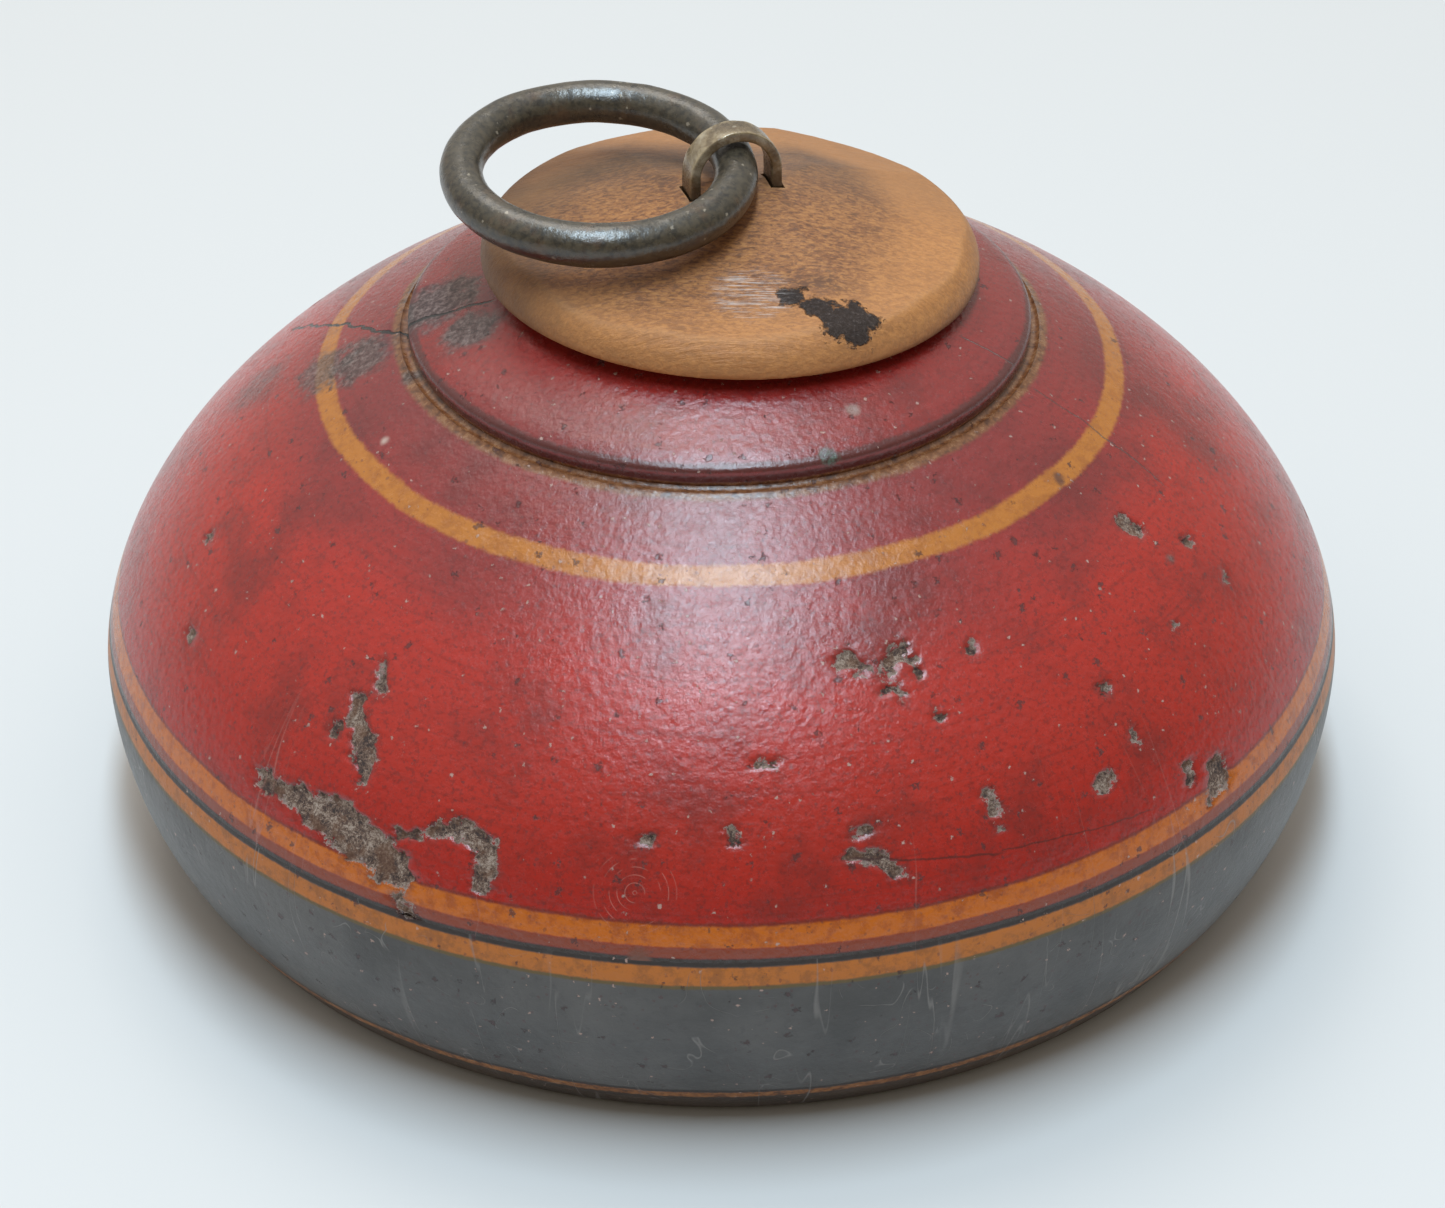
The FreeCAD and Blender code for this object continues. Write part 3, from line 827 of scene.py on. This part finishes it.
red = tint(tree, red, crack_low, 0.7, (0.06, 0.012, 0.012))
arc_spacing = 0.75
from_scar = vector_calc(tree, "DISTANCE", point, surface_point(-7.6, 30.0))
rings = calc(tree, "SINE", calc(tree, "MULTIPLY", from_scar, math.tau / arc_spacing))
arcs = calc(tree, "MULTIPLY", soft_step(tree, rings, 0.90, 1.0),
            calc(tree, "SUBTRACT", 1.0, soft_step(tree, from_scar, 3.4, 4.6)))
arcs = calc(tree, "MULTIPLY", arcs, soft_step(tree, noise(tree, point, 0.40, 3.0), 0.48, 0.58))
red = tint(tree, red, arcs, 0.50, (0.52, 0.22, 0.18))
grime = blotch(tree, point, (0, 0, 0, 1), (-87.0, 57.0), 5.5, 7.0, (1, 1, 1), 1.0)
low_only = calc(tree, "SUBTRACT", 1.0, soft_step(tree, height, 32.0, 40.0))
fine = use_group(tree, scratches, {"Vector": place.outputs["Along"], "Per mm": 0.55,
                                   "Thinness": 0.012})
scratched = calc(tree, "MULTIPLY", fine.outputs[0], low_only)
red = tint(tree, red, scratched, 0.38, (0.46, 0.20, 0.17))
connect(tree, red, shader, "Base Color")
handled = soft_step(tree, noise(tree, point, 0.9, 6.0, 0.7), 0.42, 0.66)
gloss = blend_value(tree, handled, 0.19, 0.31)
gloss = blend_value(tree, chip, gloss, 0.85)
gloss = blend_value(tree, grime, gloss, 0.62)
connect(tree, gloss, shader, "Roughness")
shader.inputs["Specular IOR Level"].default_value = 0.75
lacquer_relief(tree, shader, point, chip, [(pits, -0.12), (white, 0.05), (cracks, -0.25)])
print("red lacquer", len(tree.nodes), "nodes")
lacquered_dome.data.materials.append(red_lacquer)

# %% [markdown]
# ## The grey bowl
# The lower half is one round arc down to a rounded foot. The tongue at its top enters the
# recess in the dome and is hidden. Its flat foot and hollow inside close the form.

# %% Turn the bowl
foot_round = 3.0 * mm
arc_centre = (belly_radius - bowl_arc_radius, belly_height)
foot_drop = belly_height - foot_round
foot_reach = math.sqrt((bowl_arc_radius - foot_round) ** 2 - foot_drop ** 2)
foot_turn = -math.degrees(math.atan2(foot_drop, foot_reach))
inner_arc = bowl_arc_radius - wall
inner_turn = -math.degrees(math.asin((belly_height - wall) / inner_arc))
bowl_outline = [(radius * mm, 0.0) for radius in (0, 4, 12, 24, 36, 48)]
bowl_outline += arc_points((arc_centre[0] + foot_reach, foot_round), foot_round, -90, foot_turn, 8)
bowl_outline += arc_points(arc_centre, bowl_arc_radius, foot_turn, 0, 52)[1:]
bowl_outline += dome_points(belly_radius, dome_rise, 0.0, seam_rise, 10)[1:]
bowl_outline += [(tongue_radius, seam_height), (tongue_radius, tongue_top),
                 (cavity_radius, tongue_top)]
bowl_outline += arc_points(arc_centre, inner_arc, 0, inner_turn, 16)
bowl_outline += [(radius * mm, wall) for radius in (42, 28, 14, 4, 0)]
lacquered_bowl = turned_piece("lacquered_bowl", bowl_outline, turning_steps)
sink_chips(lacquered_bowl)
print("bowl", len(lacquered_bowl.data.vertices), "vertices")

# %% Grey lacquer
grey_lacquer, tree, shader = new_material("grey_lacquer", slate, 0.38)
place = use_group(tree, turned_place, {})
point = place.outputs["Point"]
height = place.outputs["Height"]
mottle = noise(tree, point, 0.07, 4.0, 0.6)
grey = colour_ramp(tree, mottle, [(0.35, (0.062, 0.060, 0.059)), (0.5, (0.089, 0.086, 0.085)),
                                  (0.66, (0.116, 0.111, 0.108))])
rub = soft_step(tree, noise(tree, point, 0.9, 5.0, 0.7), 0.52, 0.74)
grey = tint(tree, grey, rub, 0.45, (0.045, 0.042, 0.043))
under_wood = colour_ramp(tree, noise(tree, place.outputs["Around"], 0.8, 5.0, 0.7),
                         [(0.35, (0.020, 0.013, 0.010)), (0.55, (0.052, 0.030, 0.019)),
                          (0.7, (0.10, 0.058, 0.034))])
grey = lay_band(tree, grey, height, point, -2.0, 4.1, under_wood, 0.5)
rust = colour_ramp(tree, noise(tree, point, 1.2, 4.0, 0.7),
                   [(0.36, (0.090, 0.030, 0.010)), (0.48, (0.26, 0.088, 0.020)),
                    (0.62, (0.40, 0.16, 0.045))])
grey = lay_band(tree, grey, height, point, 4.0, 5.1, rust, 0.5)
grey = lay_band(tree, grey, height, point, 5.1, 5.6, line_dark, 0.4)
worn_gold = soft_step(tree, noise(tree, point, 0.6, 6.0, 0.75), 0.44, 0.62)
low_gold = tint(tree, (0.50, 0.150, 0.016, 1), worn_gold, 0.6, (0.24, 0.080, 0.016))
grey = lay_band(tree, grey, height, point, 21.1, 21.7, (0.13, 0.085, 0.026), 0.2)
grey = lay_band(tree, grey, height, point, 21.5, 23.45, low_gold, 0.2)
grey = lay_band(tree, grey, height, point, 23.45, 24.6, line_dark, 0.12)
grey, chip, pits, _ = worn_lacquer(tree, place, grey)
fine = use_group(tree, scratches, {"Vector": place.outputs["Along"], "Per mm": 0.5,
                                   "Thinness": 0.02})
curved = use_group(tree, scratches, {"Vector": point, "Per mm": 0.16, "Thinness": 0.006})
scratched = calc(tree, "MAXIMUM", fine.outputs[0], curved.outputs[0])
grey = tint(tree, grey, scratched, 0.5, (0.30, 0.28, 0.27))
connect(tree, grey, shader, "Base Color")
gloss = blend_value(tree, noise(tree, point, 0.5, 4.0, 0.6), 0.30, 0.46)
gloss = blend_value(tree, chip, gloss, 0.85)
connect(tree, gloss, shader, "Roughness")
lacquer_relief(tree, shader, point, chip, [(pits, -0.12), (scratched, -0.05)])
lacquered_bowl.data.materials.append(grey_lacquer)
print("grey lacquer", len(tree.nodes), "nodes")

# %% [markdown]
# ## The carved stopper
# The stopper was carved with a knife: a low dome with flat cuts all round the rim and a few
# on top, on a tapered round plug. The dome is spun first. Each knife cut is a bisect plane
# that slices a sliver away and closes the wound. Then the cap leans and shifts on its plug,
# and a voxel remesh makes cap and plug one piece of wood with softly worn edges.

# %% Spin the cap
cap_radius = lip_radius + 4.3 * mm
cap_rim = 0.9 * mm
cap_rise = 7.8 * mm
cap_exponent = 2.2
shoulder_radius = mouth_radius + 2.5 * mm
cap_outline = []
for step in range(25):
    angle = math.pi / 2 * (1 - step / 24)
    power = 2 / cap_exponent
    cap_outline.append((cap_radius * max(math.cos(angle), 0.0) ** power,
                        cap_rim + cap_rise * math.sin(angle) ** power))
cap_outline[0] = (0.0, cap_rim + cap_rise)
cap_outline += [(cap_radius - 0.05 * mm, 0.3 * mm), (cap_radius - 0.5 * mm, 0.0),
                (shoulder_radius, 1.2 * mm), (0.0, 1.2 * mm)]
carved_stopper = turned_piece("carved_stopper", cap_outline, 120)
print("cap", len(carved_stopper.data.vertices), "vertices")


# %% Knife cuts
def cap_height(distance):
    """Height of the uncut cap at a distance from its axis."""
    share = (distance / cap_radius) ** cap_exponent
    return cap_rim + cap_rise * (1 - share) ** (1 / cap_exponent)


def cap_surface(distance):
    """Height and steepness (radians) of the uncut cap at a distance from its axis."""
    step = 0.1 * mm
    height = cap_height(distance)
    return height, math.atan2(height - cap_height(distance + step), step)


def slice_off(where, normal):
    """Cut away what lies above a plane and close the cut; the piece is in edit mode."""
    bpy.ops.mesh.select_all(action="SELECT")
    bpy.ops.mesh.bisect(plane_co=where, plane_no=normal, use_fill=True, clear_outer=True,
                        threshold=0.001 * mm)


def knife_cut(piece, bearing, distance, depth, tilt):
    """Slice off what lies above a plane that sinks this deep into the cap here."""
    height, steepness = cap_surface(distance)
    steepness += tilt
    angle = math.radians(bearing)
    outward = Vector((math.sin(angle), -math.cos(angle), 0))
    normal = (outward * math.sin(steepness) + Vector((0, 0, 1)) * math.cos(steepness)).normalized()
    where = outward * distance + Vector((0, 0, height)) - normal * depth
    cut_planes.append((where, normal))
    select_only(piece)
    bpy.ops.object.mode_set(mode="EDIT")
    slice_off(where, normal)
    bpy.ops.object.mode_set(mode="OBJECT")


cut_planes = []
carver = random.Random(7)
rim_cuts = 10
upper_cuts = 6
for cut in range(rim_cuts):
    bearing = 360 / rim_cuts * cut + carver.uniform(-8, 8)
    knife_cut(carved_stopper, bearing, carver.uniform(21.6, 22.4) * mm,
              carver.uniform(0.75, 1.15) * mm, carver.uniform(-0.30, -0.14))
for cut in range(upper_cuts):
    bearing = 360 / upper_cuts * cut + 20 + carver.uniform(-12, 12)
    knife_cut(carved_stopper, bearing, carver.uniform(14.0, 16.0) * mm,
              carver.uniform(0.35, 0.60) * mm, carver.uniform(-0.05, 0.05))
print("carved cap", len(carved_stopper.data.polygons), "faces")

# %% Lean the cap and add the plug
lean = Matrix.Rotation(math.radians(2.0), 4, "Y") @ Matrix.Rotation(math.radians(-1.8), 4, "X")
shift = Matrix.Translation(Vector((1.1 * mm, 1.2 * mm, lip_height - 0.2 * mm)))
carved_stopper.data.transform(shift @ lean)
cut_planes = [(shift @ lean @ where, lean.to_3x3() @ normal) for where, normal in cut_planes]
ring_tilt = Matrix.Rotation(math.radians(1.7), 3, "Y") @ Matrix.Rotation(math.radians(3.5), 3, "X")
bpy.ops.object.mode_set(mode="EDIT")
slice_off((1.5 * mm, 2.2 * mm, 70.63 * mm), ring_tilt.col[2])
bpy.ops.object.mode_set(mode="OBJECT")
plug_clearance = 0.35 * mm
plug_radius = mouth_radius - plug_clearance
plug_foot = lip_height - 12.0 * mm
plug_top = lip_height + 4.0 * mm
plug_outline = [(0.0, plug_foot), (plug_radius - 1.1 * mm, plug_foot),
                (plug_radius - 0.7 * mm, plug_foot + 0.4 * mm), (plug_radius, lip_height),
                (shoulder_radius, lip_height), (shoulder_radius, plug_top), (0.0, plug_top)]
plug = turned_piece("plug", plug_outline, 120)
clear_selection()
plug.select_set(True)
carved_stopper.select_set(True)
bpy.context.view_layer.objects.active = carved_stopper
bpy.ops.object.join()
apply_modifier(carved_stopper, "REMESH", mode="VOXEL", voxel_size=0.33 * mm)
apply_modifier(carved_stopper, "SMOOTH", factor=0.5, iterations=2)
print("stopper", len(carved_stopper.data.vertices), "vertices")

# %% [markdown]
# ## The strap staple
# A flat strip of metal is bent to an arch, its two legs are driven through the stopper and
# their ends are bent outwards underneath. The strip's section is extruded and spun along
# that path. The legs' slots are then cut out of the stopper.

# %% Bend the strap
eye_hole = 3.7 * mm
strap_thick = 1.25 * mm
strap_wide = 3.1 * mm
eye_height = staple_high.z - eye_hole - strap_thick
eye_place = Vector((1.34, 2.2, 0)) * mm
eye_yaw = math.radians(19.0)
strap_low = plug_foot - strap_thick
bend_gap = 0.1 * mm
leg_steps = 12
slot_clearance = 0.12 * mm


def extrude_by(x, z):
    bpy.ops.mesh.extrude_region_move(TRANSFORM_OT_translate={"value": (x, 0, z)})


def bend_strip(steps, angle, x, z):
    """Spin the strip's end round an axis along Y through this place."""
    bpy.ops.mesh.spin(steps=steps, angle=angle, center=(x, 0, z), axis=(0, 1, 0))


def bent_strap_piece(name, grow):
    """The whole staple, or with a grow value the slightly larger space for its legs."""
    clear_selection()
    thick = strap_thick + 2 * grow
    inner = eye_hole - grow
    tip = eye_hole + 6.0 * mm
    bpy.ops.mesh.primitive_plane_add(size=mm)
    piece = bpy.context.object
    piece.name = name
    bpy.ops.object.mode_set(mode="EDIT")
    bpy.ops.mesh.select_all(action="SELECT")
    bpy.ops.transform.resize(value=(thick / mm, (strap_wide + 2 * grow) / mm, 1))
    bpy.ops.transform.rotate(value=math.pi / 2, orient_axis="Y", center_override=(0, 0, 0))
    bpy.ops.transform.translate(value=(-tip, 0, strap_low + strap_thick / 2))
    pivot = inner + thick + bend_gap
    bend_height = strap_low - grow + thick + bend_gap
    leg_step = (eye_height - bend_height) / leg_steps
    extrude_by(tip - pivot, 0)
    bend_strip(8, math.pi / 2, -pivot, bend_height)
    for part in range(leg_steps):
        extrude_by(0, leg_step)
    bend_strip(36, -math.pi, 0, eye_height)
    for part in range(leg_steps):
        extrude_by(0, -leg_step)
    bend_strip(8, math.pi / 2, pivot, bend_height)
    extrude_by(tip - pivot, 0)
    bpy.ops.mesh.select_all(action="SELECT")
    bpy.ops.mesh.remove_doubles(threshold=weld)
    bpy.ops.mesh.normals_make_consistent(inside=False)
    bpy.ops.transform.rotate(value=-eye_yaw, orient_axis="Z", center_override=(0, 0, 0))
    bpy.ops.transform.translate(value=eye_place)
    bpy.ops.object.mode_set(mode="OBJECT")
    return piece


strap_staple = bent_strap_piece("strap_staple", 0.0)
low = points_of(strap_staple).min(axis=0) / mm
high = points_of(strap_staple).max(axis=0) / mm
print("staple from", low.round(2), "to", high.round(2))

# %% Cut the slots
slot_space = bent_strap_piece("slot_space", slot_clearance)
apply_modifier(carved_stopper, "BOOLEAN", operation="DIFFERENCE", object=slot_space, solver="EXACT")
bpy.data.objects.remove(slot_space)
print("slotted stopper", len(carved_stopper.data.vertices), "vertices")
select_only(carved_stopper)
bpy.ops.object.shade_smooth_by_angle(angle=math.radians(60))


# %% [markdown]
# ## Worn ridges
# Hands wear ridges bright and leave dirt in hollows. The bend of the surface at each vertex
# is measured once and stored, so that a material can tell ridges from hollows.

# %% Measure ridges
def paint_ridges(piece, passes, reach):
    """Store how strongly the surface bulges (above 0.5) or dips (below) at each vertex."""
    points = points_of(piece)
    normals = np.empty(len(points) * 3)
    piece.data.vertices.foreach_get("normal", normals)
    normals = normals.reshape(-1, 3)
    edges = np.empty(len(piece.data.edges) * 2, dtype=np.int64)
    piece.data.edges.foreach_get("vertices", edges)
    first, second = edges.reshape(-1, 2).T
    count = np.bincount(edges, minlength=len(points))

    def neighbours(values):
        total = np.zeros_like(values)
        np.add.at(total, first, values[second])
        np.add.at(total, second, values[first])
        return total / count.reshape((-1,) + (1,) * (values.ndim - 1))

    smooth = points
    for step in range(passes):
        smooth = neighbours(smooth)
    bulge = ((points - smooth) * normals).sum(axis=1)
    for step in range(2):
        bulge = 0.5 * bulge + 0.5 * neighbours(bulge)
    paint(piece, "ridge", np.clip(0.5 + bulge / reach / 2, 0, 1))
    print(piece.name, "bulge from", (bulge.min() / mm).round(3), "to", (bulge.max() / mm).round(3))


paint_ridges(carved_stopper, 6, 0.12 * mm)
points = points_of(carved_stopper)
tones = np.full(len(points), 0.5)
for where, normal in cut_planes:
    tones[np.abs((points - np.array(where)) @ np.array(normal)) < 0.10 * mm] = carver.random()
paint(carved_stopper, "facet", tones)

# %% Carved wood
carved_wood, tree, shader = new_material("carved_wood", (0.30, 0.18, 0.12), 0.5)
place = use_group(tree, turned_place, {})
point = place.outputs["Point"]
height = place.outputs["Height"]
ridge = place_node(tree, "ShaderNodeAttribute", attribute_name="ridge").outputs["Fac"]
facet = place_node(tree, "ShaderNodeAttribute", attribute_name="facet").outputs["Fac"]


def stretch(tree, point, bearing, scale):
    """Turn and stretch a pattern, so that it runs along the fibres or the strokes."""
    feeds = {"Vector": point, "Rotation": (0.0, 0.0, math.radians(bearing)), "Scale": scale}
    return place_node(tree, "ShaderNodeMapping", feeds).outputs[0]


stretched = stretch(tree, point, 25.0, (0.10, 0.26, 0.3))
grain = noise(tree, stretched, 1.0, 5.0, 0.6, 0.5)
figure = calc(tree, "ADD", calc(tree, "MULTIPLY", grain, 0.75),
              calc(tree, "MULTIPLY", facet, 0.20))
wood = colour_ramp(tree, figure, [(0.36, (0.13, 0.046, 0.017)), (0.45, (0.25, 0.092, 0.030)),
                                  (0.53, (0.34, 0.135, 0.042)), (0.61, (0.25, 0.092, 0.031))])
flecks = stretch(tree, point, -50.0, (1.4, 2.6, 2.0))
fleck = noise(tree, flecks, 1.0, 5.0, 0.7, 0.4)
wood = tint(tree, wood, soft_step(tree, fleck, 0.50, 0.60), 0.50, (0.54, 0.240, 0.070))
wood = tint(tree, wood, soft_step(tree, fleck, 0.49, 0.40), 0.62, (0.090, 0.034, 0.016))
strokes = stretch(tree, point, -28.0, (0.16, 2.6, 1.2))
stroke = soft_step(tree, noise(tree, strokes, 1.0, 5.0, 0.7), 0.52, 0.68)
wood = tint(tree, wood, stroke, 0.22, (0.095, 0.044, 0.024))
hollow = calc(tree, "SUBTRACT", 1.0, soft_step(tree, ridge, 0.40, 0.50))
wood = tint(tree, wood, hollow, 0.5, (0.045, 0.023, 0.014))
worn = soft_step(tree, ridge, 0.55, 0.80)
wood = tint(tree, wood, worn, 0.30, (0.46, 0.25, 0.11))
axial = place_node(tree, "ShaderNodeSeparateXYZ", {0: point})
leftward = calc(tree, "ADD", axial.outputs["X"],
                calc(tree, "MULTIPLY", noise(tree, point, 0.13, 3.0), 14.0))
# Painted shade: the left side of the cap is painted darker, where less light falls on it.
painted_shade_left = calc(tree, "SUBTRACT", 1.0, soft_step(tree, leftward, -16.0, -3.0))
# Painted reflection: the back of the cap is painted a duller grey-brown for the hazy look the light
# gives it.
painted_haze_back = soft_step(tree, axial.outputs["Y"], -3.0, 12.0)
wood = tint(tree, wood, painted_haze_back, 0.60, (0.13, 0.078, 0.050))
# Painted light: the low bevel all round the cap is painted a brighter orange, as if it were more
# strongly lit.
painted_light_bevel = calc(tree, "SUBTRACT", 1.0, soft_step(tree, height, 66.4, 68.4))
wood = tint(tree, wood, painted_light_bevel, 0.46, (0.66, 0.28, 0.085))
wood = tint(tree, wood, painted_shade_left, 0.60, (0.062, 0.036, 0.022))
char = colour_ramp(tree, noise(tree, point, 2.4, 6.0, 0.85),
                   [(0.42, (0.010, 0.008, 0.009)), (0.56, (0.040, 0.033, 0.034)),
                    (0.68, (0.20, 0.17, 0.16))])
burns = [((12.6, -18.8, 66.2), 2.7, 5.5), ((9.6, -17.2, 67.4), 1.7, 5.0),
         ((7.2, -15.8, 68.2), 1.3, 5.0)]
burnt = 0.0
for spot, reach, ragged in burns:
    patch = use_group(tree, ragged_patch, {"Point": point, "Centre": spot, "Reach": reach,
                                           "Ragged": ragged, "Soft": 0.5})
    burnt = calc(tree, "MAXIMUM", burnt, patch.outputs[0])
wood = tint(tree, wood, burnt, 0.93, char)
# Painted shade: the cap's lowest rim is darkened, where it hangs over the collar.
painted_shade_rim = calc(tree, "SUBTRACT", 1.0, soft_step(tree, height, 61.9, 63.4))
wood = tint(tree, wood, painted_shade_rim, 0.75, (0.048, 0.027, 0.018))
plug_tone = calc(tree, "LESS_THAN", height, 61.5)
wood = blend_colour(tree, plug_tone, wood, colour_ramp(
    tree, grain, [(0.35, (0.20, 0.12, 0.075)), (0.6, (0.33, 0.215, 0.14))]))
# Painted highlight: pale streaks on a patch at the front of the top stand in for the lamp's
# reflection there; the same patch is also made glossier.
painted_highlight_streaks = soft_step(tree, noise(tree, strokes, 1.4, 6.0, 0.8), 0.48, 0.60)
gloss_and_highlight_patch = use_group(tree, ragged_patch, {"Point": point, "Centre": (3.2, -15.6, 68.2),
                                        "Reach": 3.6, "Ragged": 4.0, "Soft": 2.0})
wood = tint(tree, wood, painted_highlight_streaks, calc(tree, "MULTIPLY", gloss_and_highlight_patch.outputs[0], 0.55),
            (0.66, 0.60, 0.58))
connect(tree, wood, shader, "Base Color")
sheen = calc(tree, "ADD", 0.50, calc(tree, "MULTIPLY", stroke, 0.14))
sheen = blend_value(tree, gloss_and_highlight_patch.outputs[0], sheen, 0.30)
connect(tree, blend_value(tree, burnt, sheen, 0.75), shader, "Roughness")
relief = calc(tree, "ADD", calc(tree, "MULTIPLY", noise(tree, strokes, 1.0, 5.0, 0.7), 0.22),
              calc(tree, "MULTIPLY", fleck, 0.10))
crumbs = calc(tree, "MULTIPLY", burnt, noise(tree, point, 2.0, 5.0, 0.8))
relief = calc(tree, "ADD", relief, calc(tree, "MULTIPLY", crumbs, 0.9))
connect(tree, bump(tree, relief, 0.9), shader, "Normal")
carved_stopper.data.materials.append(carved_wood)
print("carved wood", len(tree.nodes), "nodes")

# %% [markdown]
# ## The metal
# Strap and ring are hand-worked metal: the strap an olive brown rubbed to a warm shine, the
# ring nearly black. Hammer marks are real dents, made with a Displace modifier that reads a
# cloud texture.

# %% Finish the staple's shape
apply_modifier(strap_staple, "BEVEL", width=0.3 * mm, segments=3, limit_method="ANGLE",
               angle_limit=math.radians(40))
apply_modifier(strap_staple, "SUBSURF", levels=1, render_levels=1)


def hammer(piece, dent_size, depth):
    """Dent the surface inwards with a cloud pattern fixed in space."""
    dents = bpy.data.textures.new(piece.name + "_dents", "CLOUDS")
    dents.noise_scale = dent_size
    apply_modifier(piece, "DISPLACE", texture=dents, texture_coords="LOCAL", strength=depth,
                   mid_level=1.0)


hammer(strap_staple, 1.6 * mm, 0.14 * mm)
select_only(strap_staple)
bpy.ops.object.shade_smooth_by_angle(angle=math.radians(50))
paint_ridges(strap_staple, 4, 0.10 * mm)

# %% Bend the ring
clear_selection()
swing = next(joint for joint in frame["record"]["behaviour"]["joints"]
             if joint["name"] == "ring_swing")
ring_pivot = Vector(swing["pos_m"])
wire_axis = Vector(swing["axis"]).normalized()
wire_radius = 2.25 * mm
ring_radius = 13.7 * mm
ring_centre = ring_pivot - wire_axis.cross(ring_tilt.col[2]) * ring_radius
bpy.ops.mesh.primitive_torus_add(location=ring_centre, rotation=ring_tilt.to_euler(),
                                 major_segments=240, minor_segments=48,
                                 major_radius=ring_radius, minor_radius=wire_radius)
pull_ring = bpy.context.object
pull_ring.name = "pull_ring"
bpy.ops.object.transform_apply(location=True, rotation=True, scale=True)
hammer(pull_ring, 4.0 * mm, 0.16 * mm)
select_only(pull_ring)
bpy.ops.object.shade_smooth()
paint_ridges(pull_ring, 8, 0.05 * mm)
print("ring radius", round(ring_radius / mm, 2), "wire", round(wire_radius / mm, 2), "mm")


# %% Metal finishes
def aged_metal(name, dark, mid, bright, gloss, rubbed):
    """Old metal: dark, mid and bright tones, rubbed to a warm colour on its worn ridges."""
    material, tree, shader = new_material(name, mid, gloss, 0.12)
    shader.inputs["Specular IOR Level"].default_value = 1.0
    place = use_group(tree, turned_place, {})
    point = place.outputs["Point"]
    ridge = place_node(tree, "ShaderNodeAttribute", attribute_name="ridge").outputs["Fac"]
    tone = noise(tree, point, 0.30, 5.0, 0.65, 0.4)
    metal = colour_ramp(tree, tone, [(0.34, dark), (0.50, mid), (0.68, bright)])
    rust = soft_step(tree, noise(tree, point, 0.35, 4.0, 0.65), 0.52, 0.72)
    metal = tint(tree, metal, rust, 0.40, (0.105, 0.045, 0.020))
    worn = calc(tree, "MULTIPLY", soft_step(tree, ridge, 0.55, 0.85),
                soft_step(tree, noise(tree, point, 1.5, 4.0, 0.7), 0.35, 0.60))
    metal = tint(tree, metal, worn, rubbed, (0.46, 0.34, 0.19))
    crumbs = use_group(tree, specks, {"Point": point, "Per mm": 1.3, "Size": 0.22, "Share": 0.16})
    metal = tint(tree, metal, crumbs.outputs[0], 0.6, (0.40, 0.34, 0.26))
    # Painted shade: metal below the top of the ring is darkened, so the staple's leg bases and the
    # ring's underside look shaded.
    painted_shade_low = calc(tree, "SUBTRACT", 1.0, soft_step(tree, place.outputs["Height"], 70.5, 73.5))
    metal = tint(tree, metal, painted_shade_low, 0.75, (0.030, 0.017, 0.010))
    connect(tree, metal, shader, "Base Color")
    uneven = blend_value(tree, noise(tree, point, 0.8, 5.0, 0.7), gloss - 0.06, gloss + 0.10)
    connect(tree, uneven, shader, "Roughness")
    relief = calc(tree, "ADD", calc(tree, "MULTIPLY", noise(tree, point, 0.9, 4.0, 0.6), 0.14),
                  calc(tree, "MULTIPLY", noise(tree, point, 6.0, 3.0, 0.6), 0.02))
    connect(tree, bump(tree, relief, 0.6), shader, "Normal")
    return material


strap_metal = aged_metal("strap_metal", (0.060, 0.038, 0.020), (0.170, 0.115, 0.060),
                         (0.46, 0.38, 0.27), 0.24, 0.80)
ring_metal = aged_metal("ring_metal", (0.013, 0.011, 0.009), (0.024, 0.021, 0.016),
                        (0.044, 0.038, 0.029), 0.27, 0.10)
strap_staple.data.materials.append(strap_metal)
pull_ring.data.materials.append(ring_metal)

# %% Table top
table_top = new_material("table_top", (0.66, 0.655, 0.65), 0.6)[0]
floor.data.materials.append(table_top)

# %% [markdown]
# ## Joining the frame
# Each piece rides the body that its CAD node belongs to and stands for that node, whose CAD part
# is hidden. The last column names the finish slot of the record, which the loop does not use.

# %% Ride and replace
for piece, body, node, slot in (
        (lacquered_dome, "vessel", "upper_body", "red_lacquer"),
        (lacquered_bowl, "vessel", "lower_body", "grey_lacquer"),
        (carved_stopper, "stopper_body", "stopper", "carved_wood"),
        (strap_staple, "stopper_body", "staple", "strap_metal"),
        (pull_ring, "ring_body", "ring", "ring_metal")):
    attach(piece, body)
    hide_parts(node)
    triangles = sum(len(face.vertices) - 2 for face in piece.data.polygons)
    print(piece.name, triangles, "triangles")
